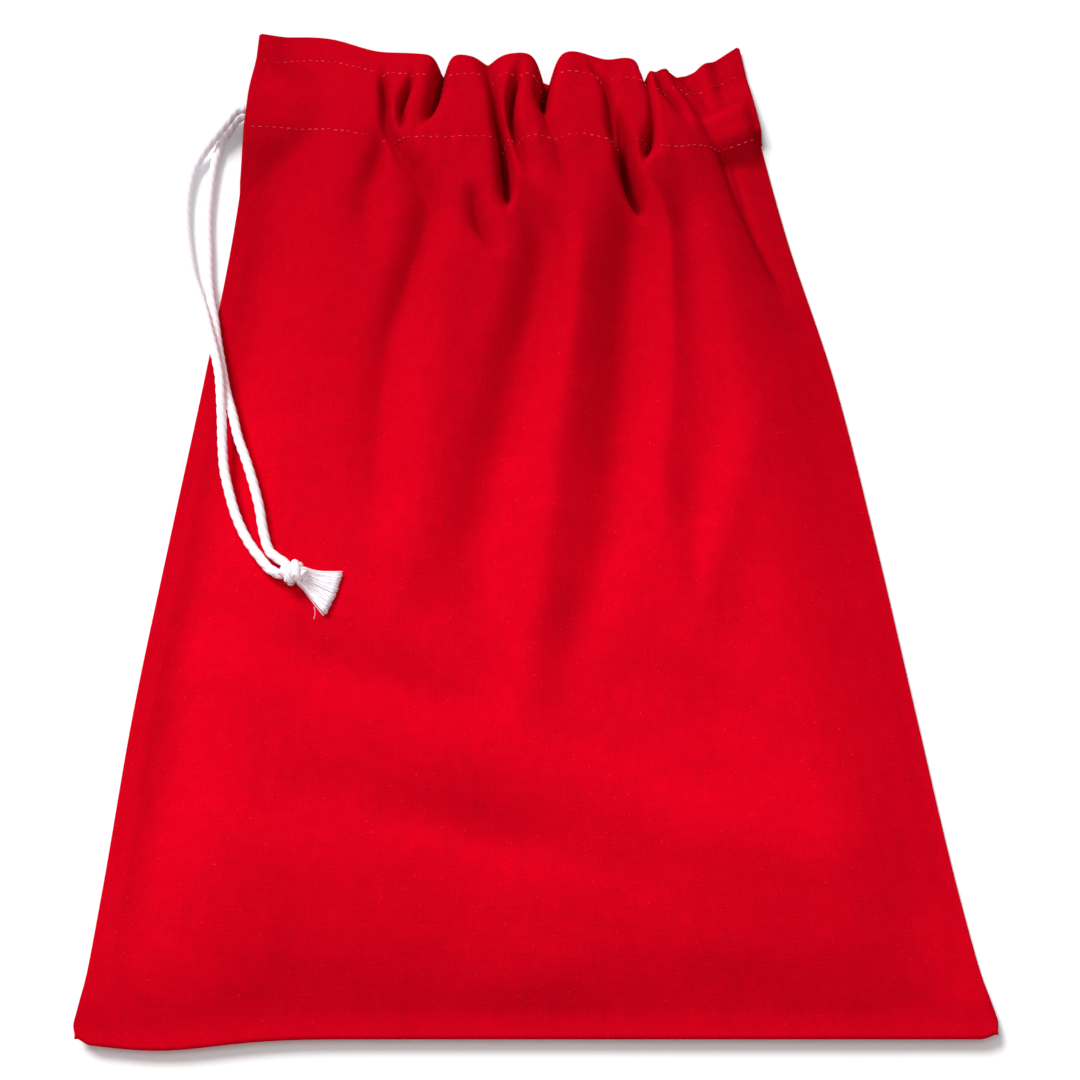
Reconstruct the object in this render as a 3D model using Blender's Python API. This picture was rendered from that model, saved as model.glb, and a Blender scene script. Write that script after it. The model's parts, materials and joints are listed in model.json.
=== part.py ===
"""Kinchaku drawstring pouch of red cotton, lying flat and empty on its back.

The pouch is two panels of cloth, sewn together at the sides and the bottom. Each panel's mouth
edge is folded over and stitched twice, which leaves a narrow header and, below it, a channel.
One white cord runs through both channels, out of a slit in the left side seam, and back on
itself into an overhand knot with a frayed end.

Metres, +Z up, +X to the right and +Y to the mouth as the front is looked at. The origin is
under the middle of the pouch, on the surface that it lies on.
"""

import math

import bpy
import numpy as np

MM = 0.001

# The cloth, as it lies
WIDTH = 250 * MM  # bottom seam, side to side
LENGTH = 339 * MM  # bottom seam to the mouth edge
LEFT_TAPER = 29.0 * MM  # how far the left side has come in at the mouth
RIGHT_TAPER = 55.5 * MM
CLOTH = 0.5 * MM
CORNER = 4 * MM  # rounding of the two bottom corners
BOTTOM_BOW = 3 * MM  # the bottom seam bows out near its left end
BOW_AT, BOW_HALF = 0.09, 0.09  # its place and half breadth, as shares across
SEAM = 2 * MM  # the panels lie face to face this far in from their edges

# The mouth
HEADER = 11 * MM  # doubled cloth above the upper stitching
CHANNEL = 32 * MM  # between the two rows of stitching
STITCH_BAND = 2 * MM  # over which a row of stitching closes the channel
CORD_LINE = 8 * MM  # the cord's line above the lower stitching
SLIT_DEPTH = 10 * MM  # the channel's lining starts this far in from the left seam
MOUTH_DIP = 22 * MM  # the gathers draw the mouth edge this far towards the bottom
DIP_START = 190 * MM  # the gathers draw nothing in below this height
DIP_EDGE = 1.45  # higher keeps the draw closer to the mouth edge
MOUTH_ROOM = 4.5 * MM  # clear height of the way left open through the gathered mouth
ROOM_AT = 0.645  # its place across the neck, as a share of the neck
ROOM_FLAT = 4.5 * MM  # half its width
ROOM_RAMP = 22 * MM  # the cord comes down again over this much on either side
CORD_FADE = 4.5 * MM  # the cloth comes down from the cord over about this much
LINING_SAG = 0.55  # how far the lining stays off the cloth halfway to the upper stitching

# The cord
CORD = 3 * MM
GAP = 0.3 * MM  # between pieces that touch
TURN_IN = 7.2 * MM  # centre of the cord's turn, in from the right side seam
KNOT = (7.6 * MM, 8.0 * MM, 6.2 * MM)  # along the cord, across it and up
TASSEL_LENGTH = 11 * MM
TASSEL_NECK = 2.2 * MM  # half its breadth at the knot
TASSEL_SPREAD = 6.2 * MM  # half its breadth at the frayed end
TASSEL_THICK = 2.6 * MM
TASSEL_THIN = 0.35  # share of its thickness lost at the frayed end
TASSEL_FLARE = 0.8  # under 1 spreads the fibres early

# How the cloth lies
PUFF = 12.3 * MM  # the front stands this far over the seams in the middle of the bag
SIDE_RISE = 38 * MM  # it climbs to that over this much from a side seam
BOTTOM_RISE = 46 * MM
RISE_EDGE = 2.2  # higher climbs steeper from the seams
BACK_PLEAT = 2.4 * MM  # the back's pleats stand this high off the surface at the neck
BACK_PLEATS = 13
PLEATS_FROM, PLEATS_FULL, PLEATS_EDGE = 0.60, 0.82, 1.3  # height shares, and how late they grow

# The sides, from the bottom up: height share, and the share of the taper reached there
LEFT_SIDE = ((0, 0), (0.13, 0.13), (0.27, 0.25), (0.435, 0.46), (0.6, 0.68), (0.765, 0.87),
             (0.87, 0.94), (1, 1))
RIGHT_SIDE = ((0, 0), (0.13, 0.14), (0.27, 0.26), (0.435, 0.40), (0.6, 0.56), (0.765, 0.78),
              (0.87, 0.89), (1, 1))
# How the mouth edge dips from left to right: place across, share of the full dip
DIP = ((0, 0), (0.14, 0.24), (0.25, 0.66), (0.37, 0.96), (0.5, 1), (0.85, 0.96), (0.92, 0.72),
       (1, 0.27))
# Height share, and how much of the puff and of the gathers' lift in mm there is
PUFF_ALONG = ((0, 1), (0.5, 1), (0.8, 0.86), (0.92, 0.80), (1, 0.46))
LIFT_ALONG = ((0, 0), (0.28, 0), (0.42, 1.8), (0.56, 4.0), (0.72, 6.4), (0.84, 8.2), (0.92, 9.6),
              (1, 12.0))
# Place across, and how much of that lift the gathers have there
LIFT_ACROSS = ((0, 0), (0.16, 0.06), (0.25, 0.30), (0.33, 0.72), (0.42, 0.94), (0.54, 1.04),
               (0.66, 1.0), (0.78, 0.84), (0.87, 0.66), (0.92, 0.46), (0.96, 0.16), (1, 0))

# Each fold is a line down the cloth: height share, place across, depth and half width in mm.
# A higher edge number makes the fold softer.
CREASES = (
    ("left gather", 1.5, ((1, .255, 3, 2.0), (.955, .264, 6, 1.9), (.91, .271, 8, 2.0),
                          (.877, .305, 11, 3.4), (.85, .325, 9, 3.6), (.814, .337, 6, 4),
                          (.712, .304, 4, 5.5), (.557, .281, 3, 7), (.454, .284, 1.8, 8),
                          (.38, .29, 0, 8))),
    ("left gather, outer branch", 1.7, ((.90, .29, 0, 2.5), (.86, .258, 6, 3), (.79, .236, 4, 4),
                                        (.738, .25, 2, 5), (.68, .26, 0, 6))),
    ("left gather, inner tuck", 1.4, ((1, .335, 3, 2), (.948, .325, 6, 1.6), (.91, .30, 7, 1.7),
                                      (.87, .30, 0, 2))),
    ("left notch", 1.4, ((1, .388, 6, 2.6), (.983, .384, 7, 2.2), (.948, .359, 9, 2.2),
                         (.921, .325, 9, 2.0), (.888, .306, 8, 2.4), (.86, .31, 0, 3))),
    ("middle gather", 1.6, ((1, .489, 6, 3.4), (.983, .488, 9, 2.8), (.933, .492, 12, 2.6),
                            (.872, .504, 14, 4.4), (.84, .508, 13, 4.0), (.799, .495, 9, 3.2),
                            (.75, .49, 0, 3))),
    ("middle gather, right side", 1.5, ((1, .556, 4, 2.4), (.976, .549, 7, 2.0),
                                        (.924, .531, 9, 2.2), (.884, .538, 12, 3.2),
                                        (.848, .532, 11, 3.4), (.79, .53, 0, 3))),
    ("middle gather, down the body", 2, ((.83, .50, 0, 4), (.754, .543, 4.5, 6.5),
                                         (.67, .531, 5, 7), (.555, .471, 4.5, 8),
                                         (.456, .432, 3.2, 9), (.389, .425, 1.8, 9),
                                         (.326, .453, 0, 9))),
    ("small tuck", 1.6, ((.815, .44, 0, 3), (.782, .443, 4, 3), (.737, .464, 4.5, 3.2),
                         (.70, .51, 0, 3))),
    ("deep notch", 1.5, ((1, .60, 15, 2.8), (.979, .596, 15, 2.4), (.941, .582, 10, 2.2),
                         (.894, .592, 8, 2.4), (.856, .611, 6, 2.8), (.818, .63, 3, 3),
                         (.78, .645, 0, 3))),
    ("right gather, thin fold", 1.4, ((1, .68, 2, 1.8), (.984, .685, 3.5, 1.7),
                                      (.946, .712, 6, 1.8), (.917, .718, 8, 1.9),
                                      (.895, .733, 9, 2.4), (.86, .735, 0, 3))),
    ("right gather", 1.7, ((.94, .736, 0, 2.4), (.901, .738, 12, 3.0), (.857, .733, 15, 3.6),
                           (.814, .733, 13, 4.0), (.784, .742, 8, 4.0), (.74, .745, 0, 4))),
    ("right gather, down the body", 2, ((.84, .71, 0, 5), (.739, .686, 6.5, 8), (.655, .661, 6.5, 8.5),
                                        (.559, .635, 5.5, 8.5), (.457, .604, 3.6, 8.5),
                                        (.39, .571, 2, 8), (.327, .541, 0, 8))),
    ("tuck beside it", 1.5, ((1, .80, 8, 2.4), (.957, .801, 8, 1.8), (.913, .795, 10, 2.0),
                             (.863, .775, 10, 2.6), (.832, .762, 8, 2.6), (.79, .76, 0, 3))),
    ("right hollow", 2, ((.84, .80, 0, 6), (.784, .81, 3.2, 6), (.712, .803, 2.6, 7),
                         (.584, .806, 1.8, 9), (.5, .80, 0, 9))),
    ("flap fold", 1.4, ((1, .836, 6, 2.2), (.966, .834, 5, 1.7), (.923, .857, 4, 1.7),
                        (.88, .872, 0, 2))),
    ("long right crease", 1.5, ((1, .868, 5, 2.4), (.96, .882, 7, 2.2), (.92, .906, 8, 2.4),
                                (.874, .924, 8, 2.6), (.844, .928, 7, 2.6), (.793, .936, 5, 2.4),
                                (.759, .945, 3.5, 2.4), (.71, .958, 2, 2.2), (.66, .972, 0, 2))),
)
RIDGES = (
    ("main ridge", 2, ((.80, .625, 0, 5), (.727, .601, 2.2, 5.5), (.56, .555, 2.4, 6.5),
                       (.461, .529, 2.6, 6.5), (.379, .514, 2.2, 7), (.293, .494, 1.2, 9),
                       (.22, .49, 0, 9))),
    ("left ridge", 2, ((.78, .39, 0, 8), (.669, .386, 1.4, 9), (.507, .354, 1.4, 11),
                       (.401, .334, 1.0, 12), (.32, .33, 0, 12))),
    ("right ridge", 2, ((.76, .74, 0, 8), (.671, .741, 1.2, 8), (.508, .764, 1.4, 8),
                        (.40, .725, 1.8, 7), (.345, .705, 1.4, 6), (.30, .70, 0, 6))),
    ("right ridge, upper arm", 2, ((.62, .93, 0, 10), (.521, .871, 1.0, 10), (.42, .77, 1.2, 8),
                                   (.36, .715, 0.8, 6), (.32, .70, 0, 6))),
)
# Broad rises and hollows of the body: height share, place across, height in mm, reach along
# and reach across in mm, and how far the line drops along for each mm across
BROAD = (
    (.243, .44, 1.5, 15, 95, .17),
    (.172, .50, -1.4, 12, 46, .17),
    (.36, .24, -1.0, 20, 34, .2),
    (.36, .86, -0.8, 24, 26, 0),
    (.085, .25, -1.1, 13, 38, 0),
    (.085, .76, -1.2, 13, 38, 0),
)

# The free strands: from the slit in the left seam, out over the surface beside the pouch, back
# over its edge, and to the knot on the front. Points chosen by hand.
UPPER_STRAND = (
    (-0.0980, 0.1360, 0.0062), (-0.0998, 0.1359, 0.0062), (-0.1042, 0.1305, 0.0056),
    (-0.1080, 0.1252, 0.0045), (-0.1114, 0.1206, 0.0028), (-0.1143, 0.1148, 0.0018),
    (-0.1155, 0.1072, 0.0017), (-0.1155, 0.0972, 0.0017), (-0.1147, 0.0898, 0.0017),
    (-0.1134, 0.0824, 0.0018), (-0.1109, 0.0717, 0.0023), (-0.1084, 0.0648, 0.0034),
    (-0.1058, 0.0575, 0.0054), (-0.1034, 0.0495, 0.0074), (-0.1006, 0.0401, 0.0094),
    (-0.0985, 0.0320, 0.0109), (-0.0971, 0.0232, 0.0120), (-0.0962, 0.0146, 0.0113),
    (-0.0954, 0.0059, 0.0106), (-0.0942, -0.0020, 0.0110), (-0.0919, -0.0104, 0.0123),
    (-0.0891, -0.0186, 0.0135), (-0.0851, -0.0266, 0.0144), (-0.0810, -0.0324, 0.0151),
    (-0.0777, -0.0362, 0.0154), (-0.0751, -0.0377, 0.0158),
)
LOWER_STRAND = (
    (-0.0980, 0.1360, 0.0023), (-0.0998, 0.1359, 0.0022), (-0.1033, 0.1315, 0.0018),
    (-0.1058, 0.1260, 0.0017), (-0.1071, 0.1203, 0.0017), (-0.1079, 0.1139, 0.0017),
    (-0.1082, 0.1075, 0.0017), (-0.1083, 0.0988, 0.0017), (-0.1078, 0.0898, 0.0017),
    (-0.1070, 0.0824, 0.0017), (-0.1060, 0.0717, 0.0019), (-0.1049, 0.0650, 0.0027),
    (-0.1030, 0.0566, 0.0035), (-0.1008, 0.0459, 0.0049), (-0.0984, 0.0357, 0.0068),
    (-0.0960, 0.0261, 0.0087), (-0.0931, 0.0171, 0.0104), (-0.0906, 0.0084, 0.0119),
    (-0.0873, -0.0002, 0.0134), (-0.0845, -0.0084, 0.0143), (-0.0822, -0.0163, 0.0149),
    (-0.0804, -0.0245, 0.0151), (-0.0783, -0.0303, 0.0152), (-0.0735, -0.0345, 0.0161),
)
KNOT_AT = (-0.0708, -0.0378, 0.0171)
KNOT_TURN = math.radians(-20)  # the knot and its tassel point this way on the front
TASSEL_DROOP = math.radians(7)
CORD_STEP = 2.6 * CORD  # between the points of a cord's curve
CORD_END = 1.2 * MM  # its first and last points are this close to the ends
CORD_FACETS = 2
SHARP = math.radians(50)  # edges sharper than this are shaded as edges

# How finely the panels are drawn
FRONT_BODY = (.015, .05, .11, .19, .28, .37, .46, .54, .61, .675, .735, .79, .84, .89, .93, .965)
BACK_EVERY = 2
GATHERED = (.225, .955)  # the part of the neck that has gathers, as shares across
GATHER_COLUMNS = 51
LEFT_COLUMNS = (0, .022, .058, .10, .14, .185)
RIGHT_COLUMNS = (.978, 1)
CORD_POINTS, TURN_POINTS = 26, 9  # on each run of the channel's cord, and round its turn
TASSEL_SIDES, TASSEL_RINGS = 10, 5

CORD_R = CORD / 2
LOWER_STITCH = LENGTH - HEADER - CHANNEL
UPPER_STITCH = LENGTH - HEADER
CORD_ROW = LOWER_STITCH + CORD_LINE
CORD_CLEAR = CORD_R + 2 * MM  # the channel keeps its full height this far from the cord's line

# The stack of layers at the cord's line, from the surface up
BACK_CORD = CLOTH + GAP + CORD_R
BACK_LINING = BACK_CORD + CORD_R + GAP  # underside of the back channel's lining
FRONT_LINING = BACK_LINING + CLOTH + GAP
FRONT_CORD = FRONT_LINING + CLOTH + GAP + CORD_R
SLIT_CORD = BACK_CORD + CORD + 3 * GAP  # the upper strand in the slit
SEAM_TOP = 2 * CLOTH + GAP  # top of the front where the panels are sewn together


def material(name, colour, roughness):
    """A plain Principled material."""
    made = bpy.data.materials.new(name)
    made.use_nodes = True
    shader = made.node_tree.nodes["Principled BSDF"]
    shader.inputs["Base Color"].default_value = (*colour, 1)
    shader.inputs["Roughness"].default_value = roughness
    shader.inputs["Metallic"].default_value = 0
    made.diffuse_color = (*colour, 1)
    return made


RED_COTTON = material("red_cotton", (0.62, 0.0015, 0.011), 0.9)
RED_COTTON_BACK = material("red_cotton_back", (0.56, 0.0015, 0.010), 0.9)
WHITE_COTTON = material("white_cotton_cord", (0.90, 0.86, 0.88), 0.8)


def flow(at, table, column=1):
    """A smooth curve through a table's few values: cubic pieces whose slopes come from their
    neighbours."""
    order = np.argsort([row[0] for row in table])
    place = np.array([table[k][0] for k in order], float)
    value = np.array([table[k][column] for k in order], float)
    slope = np.gradient(value, place)
    k = np.clip(np.searchsorted(place, at) - 1, 0, len(place) - 2)
    run = place[k + 1] - place[k]
    u = np.clip((at - place[k]) / run, 0, 1)
    return (value[k] * (1 + 2 * u) * (1 - u) ** 2 + slope[k] * run * u * (1 - u) ** 2
            + value[k + 1] * u * u * (3 - 2 * u) + slope[k + 1] * run * u * u * (u - 1))


def sides(up):
    """The left and right edges' X at a height along the cloth."""
    share = up / LENGTH
    return (LEFT_TAPER * flow(share, LEFT_SIDE) - WIDTH / 2,
            WIDTH / 2 - RIGHT_TAPER * flow(share, RIGHT_SIDE))


def lay(across, up):
    """Where a point of the cloth lies: X and Y from its share across and its height along."""
    left, right = sides(up)
    drawn = np.clip((up - DIP_START) / (LENGTH - DIP_START), 0, 1) ** DIP_EDGE
    bow = np.exp(-((across - BOW_AT) / BOW_HALF) ** 2) * np.clip(1 - up / BOTTOM_RISE, 0, 1)
    x = left + across * (right - left)
    y = up - MOUTH_DIP * drawn * flow(across, DIP) - BOTTOM_BOW * bow
    near = np.minimum(x - left, right - x)
    corner = np.clip(1 - near / CORNER, 0, 1) * np.clip(1 - up / CORNER, 0, 1)
    inward = (1 - math.sqrt(0.5)) * CORNER * corner
    return x + np.sign(0.5 - across) * inward, y + inward


def climb(distance, reach):
    """0 in the seam and 1 from reach onwards, steep at first and then level."""
    return 1 - (1 - np.clip((distance - SEAM) / (reach - SEAM), 0, 1)) ** RISE_EDGE


def folds(table, across, up):
    """How deep a table's folds are at each place. Where folds meet, the deeper one leads."""
    left, right = sides(up)
    share = up / LENGTH
    total = np.zeros(np.broadcast(across, up).shape)
    for _, edge, line in table:
        ends = min(row[0] for row in line), max(row[0] for row in line)
        depth = np.maximum(flow(share, line, 2), 0) * MM
        depth = depth * ((share >= ends[0]) & (share <= ends[1]))
        off = (across - flow(share, line, 1)) * (right - left)
        slant = np.abs(off) / (flow(share, line, 3) * MM)
        total += (depth * np.exp(-slant ** edge)) ** 4
    return total ** 0.25


def broad(across, up):
    """The body's broad rises and hollows."""
    left, right = sides(up)
    total = 0
    for share, place, height, along, over, drop in BROAD:
        dx = (across - place) * (right - left)
        dy = up - share * LENGTH + drop * dx
        total = total + height * MM * np.exp(-(dx / (over * MM)) ** 2 - (dy / (along * MM)) ** 2)
    return total


def cord_height(across, up):
    """The centre of the front channel's cord: up over the way left open at the mouth, and down
    a little to the slit."""
    left, right = sides(up)
    neck = right - left
    off = np.abs(across - ROOM_AT) * neck - ROOM_FLAT
    ramp = 0.5 + 0.5 * np.cos(np.pi * np.clip(off / ROOM_RAMP, 0, 1))
    out = np.clip(1 - across * neck / SLIT_DEPTH, 0, 1)
    return FRONT_CORD + MOUTH_ROOM * ramp - (FRONT_CORD - SLIT_CORD) * out


def near_cord(up):
    """1 along the cord's line and 0 away from it."""
    return np.exp(-(np.clip(np.abs(up - CORD_ROW) - CORD_CLEAR, 0, None) / CORD_FADE) ** 2)


def back_pleats(across, up):
    """How far the back panel stands off the surface: narrow pleats at the neck, pressed flat
    under the cord."""
    low, high = GATHERED
    phase = np.clip((across - low) / (high - low), 0, 1) * BACK_PLEATS
    fade = np.clip((up / LENGTH - PLEATS_FROM) / (PLEATS_FULL - PLEATS_FROM), 0, 1) ** PLEATS_EDGE
    return BACK_PLEAT * (0.5 - 0.5 * np.cos(2 * np.pi * phase)) * fade * (1 - near_cord(up))


def front_shape(across, up):
    """The top of the front panel as the folds and the gathers shape it."""
    left, right = sides(up)
    x = left + across * (right - left)
    side = climb(np.minimum(x - left, right - x), SIDE_RISE)
    share = up / LENGTH
    puff = PUFF * flow(share, PUFF_ALONG) * side * climb(up, BOTTOM_RISE)
    lift = flow(share, LIFT_ALONG) * flow(across, LIFT_ACROSS) * MM
    soft = (folds(RIDGES, across, up) + broad(across, up)) * side
    return SEAM_TOP + np.maximum(puff + lift + soft - folds(CREASES, across, up), 0)


def over_cord(across, up):
    """How high the front's cloth has to be to clear the cord in its channel."""
    left, right = sides(up)
    clear = cord_height(across, up) + CORD_R + GAP
    return clear * near_cord(up) * np.clip((1 - across) * (right - left) / (0.5 * TURN_IN), 0, 1)


def layers(across, up):
    """The cloth is doubled in the header, apart from the very edge of the side seams."""
    return np.where((up >= UPPER_STITCH) & (across > 0) & (across < 1), 2, 1)


def in_channel(across, up):
    """Whether the channel's lining lies under the cloth here."""
    return (up > LOWER_STITCH) & (up < UPPER_STITCH) & (across > 0) & (across < 1)


def back_top(across, up):
    """The highest face of the back panel, lining included."""
    inner = back_pleats(across, up) + CLOTH * layers(across, up)
    share = lining_share(up)
    lining = (1 - share) * inner + share * BACK_LINING + CLOTH
    return np.where(in_channel(across, up), lining, inner)


def steepness(x, y, z):
    """How much further down a sloping cloth's other face lies than a level one's."""
    point = np.stack([x, y, z], -1)
    normal = np.cross(np.gradient(point, axis=1), np.gradient(point, axis=0))
    level = np.abs(normal[..., 2]) / np.linalg.norm(normal, axis=-1)
    return np.clip(1 / np.clip(level, 0.1, 1), 1, 2)


def channel_rows():
    """The heights of the rows that make the channel, from stitching to stitching."""
    return (LOWER_STITCH, LOWER_STITCH + STITCH_BAND, CORD_ROW - CORD_CLEAR,
            CORD_ROW + CORD_CLEAR, (CORD_ROW + CORD_CLEAR + UPPER_STITCH) / 2,
            UPPER_STITCH - STITCH_BAND, UPPER_STITCH)


def grid(every):
    """The rows' heights and the columns' shares, and where the channel starts and ends."""
    body = [0] + [share * LOWER_STITCH for share in FRONT_BODY[::every]]
    rows = np.array(body + list(channel_rows()) + [LENGTH - HEADER / 2, LENGTH])
    gathered = np.linspace(*GATHERED, GATHER_COLUMNS)[::every]
    columns = np.concatenate([LEFT_COLUMNS, gathered, RIGHT_COLUMNS])
    first, last = len(body), len(body) + len(channel_rows()) - 1
    return rows, columns, first, last


def sheet(outer, inner, lining_in, lining_out, first, last, start, stop, front):
    """The vertices and faces of one panel. outer and inner are the cloth's two faces, as arrays
    of points in rows and columns. The lining's two faces close the channel from row first to
    row last, between the columns start and stop."""
    points, faces = [], []

    def number(block):
        base = sum(len(p) for p in points)
        points.append(block.reshape(-1, 3))
        return base + np.arange(block.shape[0] * block.shape[1]).reshape(block.shape[:2])

    def skin(ids, slant, up):
        a, b, c, d = ids[:-1, :-1], ids[:-1, 1:], ids[1:, 1:], ids[1:, :-1]
        rising = np.where(slant[..., None], np.stack([a, b, c], -1), np.stack([a, b, d], -1))
        falling = np.where(slant[..., None], np.stack([a, c, d], -1), np.stack([b, c, d], -1))
        both = np.concatenate([rising.reshape(-1, 3), falling.reshape(-1, 3)])
        faces.append(both if up else both[:, ::-1])

    def wall(low, high, up):
        quad = np.stack([low[:-1], low[1:], high[1:], high[:-1]], -1)
        both = np.concatenate([quad[:, [0, 1, 2]], quad[:, [0, 2, 3]]])
        faces.append(both if up else both[:, ::-1])

    def slant_of(p):
        one = np.linalg.norm(p[:-1, :-1] - p[1:, 1:], axis=-1)
        other = np.linalg.norm(p[:-1, 1:] - p[1:, :-1], axis=-1)
        return one < other

    top, under = number(outer), number(inner)
    span = slice(start, stop + 1)
    slant = slant_of(outer)
    skin(top, slant, True)
    for low, high in ((0, first), (first + 1, last - 1), (last, len(outer) - 1)):
        skin(under[low:high + 1], slant[low:high], False)
    for low in (first, last - 1):
        for side in (slice(0, start + 1), slice(stop, None)):
            part = under[low:low + 2, side]
            if part.shape[1] > 1:
                cell = slice(side.start or 0, (side.stop - 1) if side.stop else None)
                skin(part, slant[low:low + 1, cell], False)
    outside = number(lining_out[first + 1:last, span])
    inside = number(lining_in[first + 2:last - 1, span])
    low_chain = np.concatenate([under[first:first + 1, span], outside, under[last:last + 1, span]])
    high_chain = np.concatenate([under[first + 1:first + 2, span], inside,
                                 under[last - 1:last, span]])
    lining_slant = slant_of(lining_out[first:last + 1, span])
    skin(low_chain, lining_slant, False)
    skin(high_chain, lining_slant[1:-1], True)
    for column, up in ((0, False), (-1, True)):
        low, high = low_chain[:, column], high_chain[:, column]
        wall(low[1:-1], high, up)
        ends = np.array([[low[0], low[1], high[0]], [low[-2], low[-1], high[-1]]])
        faces.append(ends if up else ends[:, ::-1])
    wall(under[:, -1], top[:, -1], True)
    wall(under[:, 0], top[:, 0], False)
    wall(under[0], top[0], True)
    wall(under[-1], top[-1], False)
    every = np.concatenate(faces)
    return np.concatenate(points), every if front else every[:, ::-1]


def made_mesh(name, points, faces, look):
    """An object of one closed mesh, smooth apart from its sharp edges."""
    mesh = bpy.data.meshes.new(name)
    mesh.from_pydata([tuple(p) for p in points.tolist()], [], [tuple(f) for f in faces.tolist()])
    mesh.materials.append(look)
    mesh.shade_smooth()
    mesh.set_sharp_from_angle(angle=SHARP)
    made = bpy.data.objects.new(name, mesh)
    bpy.context.scene.collection.objects.link(made)
    return made


def middle():
    """The middle of the pouch's outline, which becomes the origin."""
    rows, columns, _, _ = grid(1)
    x, y = lay(*np.meshgrid(columns, rows))
    return (x.min() + x.max()) / 2, (y.min() + y.max()) / 2


MIDDLE = middle()


def placed(x, y, z):
    """Points about the pouch's middle."""
    return np.stack([x - MIDDLE[0], y - MIDDLE[1], z], -1)


def lining_share(rows):
    """0 at the rows of stitching and 1 beside the cord: how far the lining has left the cloth."""
    return np.interp(rows, channel_rows(), (0, 0, 1, 1, LINING_SAG, 0, 0))


def lining_columns(columns):
    """The first and last columns of the channel's lining: in from the slit, and short of the
    cord's turn."""
    left, right = sides(CORD_ROW)
    in_left = columns * (right - left)
    in_right = (1 - columns) * (right - left)
    start = int(np.argmax(in_left >= SLIT_DEPTH - MM))
    stop = len(columns) - 1 - int(np.argmax(in_right[::-1] >= TURN_IN))
    return start, stop


def front_panel():
    """The front: its cloth with the gathers, its header and its channel."""
    rows, columns, first, last = grid(1)
    across, up = np.meshgrid(columns, rows)
    x, y = lay(across, up)
    top = np.maximum(front_shape(across, up), over_cord(across, up) + CLOTH)
    edge = (across <= 0) | (across >= 1) | (up <= 0)
    thick = np.where(edge, CLOTH, CLOTH * steepness(x, y, top))
    under = top - thick * layers(across, up)
    clear = back_top(across, up) + GAP + CLOTH * in_channel(across, up)
    raised = np.maximum(np.maximum(clear, over_cord(across, up)) - under, 0)
    top, under = top + raised, under + raised
    share = lining_share(up)
    room = under - (cord_height(across, up) - CORD_R - GAP)
    lining = under - share * np.maximum(room, GAP)
    start, stop = lining_columns(columns)
    points, faces = sheet(placed(x, y, top), placed(x, y, under), placed(x, y, lining),
                          placed(x, y, lining - CLOTH), first, last, start, stop, True)
    return made_mesh("front_panel", points, faces, RED_COTTON)


def back_panel():
    """The back, flat on the surface: its cloth, its header and its channel."""
    rows, columns, first, last = grid(BACK_EVERY)
    across, up = np.meshgrid(columns, rows)
    x, y = lay(across, up)
    outer = back_pleats(across, up)
    inner = outer + CLOTH * layers(across, up)
    share = lining_share(up)
    lining = (1 - share) * inner + share * BACK_LINING
    start, stop = lining_columns(columns)
    points, faces = sheet(placed(x, y, outer), placed(x, y, inner), placed(x, y, lining),
                          placed(x, y, lining + CLOTH), first, last, start, stop, False)
    return made_mesh("back_panel", points, faces, RED_COTTON_BACK)


def smooth_line(route, step):
    """Evenly spaced points on a smooth curve through a route's points, with one more by each
    end, which squares the end to the route."""
    route = np.array(route, float)
    along = np.concatenate([[0], np.cumsum(np.linalg.norm(np.diff(route, axis=0), axis=1))])
    fine = np.linspace(0, along[-1], 40 * len(route))
    line = np.stack([flow(fine, list(zip(along, route[:, k]))) for k in range(3)], -1)
    length = np.concatenate([[0], np.cumsum(np.linalg.norm(np.diff(line, axis=0), axis=1))])
    even = np.linspace(0, length[-1], max(2, round(length[-1] / step) + 1))
    even = np.sort(np.append(even, [CORD_END, length[-1] - CORD_END]))
    return np.stack([np.interp(even, length, line[:, k]) for k in range(3)], -1)


def cord(name, line):
    """A round cord along a line of points."""
    curve = bpy.data.curves.new(name, "CURVE")
    curve.dimensions = "3D"
    curve.bevel_depth = CORD_R
    curve.bevel_resolution = CORD_FACETS
    curve.use_fill_caps = True
    spline = curve.splines.new("POLY")
    spline.points.add(len(line) - 1)
    for point, place in zip(spline.points, line):
        point.co = (*place, 1)
    curve.materials.append(WHITE_COTTON)
    made = bpy.data.objects.new(name, curve)
    bpy.context.scene.collection.objects.link(made)
    return made


def channel_route():
    """The held length of the cord: in at the slit over the front's lining, round inside the
    right side seam, and back through the back's channel."""
    left, right = sides(CORD_ROW)
    neck = right - left
    turn = 1 - TURN_IN / neck
    ahead = np.linspace(-GAP / neck, turn, CORD_POINTS)
    over = np.stack([ahead, cord_height(ahead, CORD_ROW)], -1)
    radius = (FRONT_CORD - BACK_CORD) / 2
    angle = np.linspace(math.pi / 2, -math.pi / 2, TURN_POINTS)[1:-1]
    bend = np.stack([turn + radius * np.cos(angle) / neck,
                     (FRONT_CORD + BACK_CORD) / 2 + radius * np.sin(angle)], -1)
    home = np.stack([ahead[::-1], np.full(CORD_POINTS, BACK_CORD)], -1)
    route = np.concatenate([over, bend, home])
    x, y = lay(np.clip(route[:, 0], 0, 1), np.full(len(route), CORD_ROW))
    x = np.where(route[:, 0] < 0, left + route[:, 0] * neck, x)
    return placed(x, y, route[:, 1])


def knot():
    """The overhand knot, as one rounded lump."""
    bpy.ops.mesh.primitive_uv_sphere_add(segments=14, ring_count=8, radius=0.5, location=KNOT_AT)
    made = bpy.context.object
    made.name = made.data.name = "cord_knot"
    made.scale = KNOT
    made.rotation_euler = (0, 0, KNOT_TURN)
    made.data.materials.append(WHITE_COTTON)
    made.data.shade_smooth()
    return made


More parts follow.
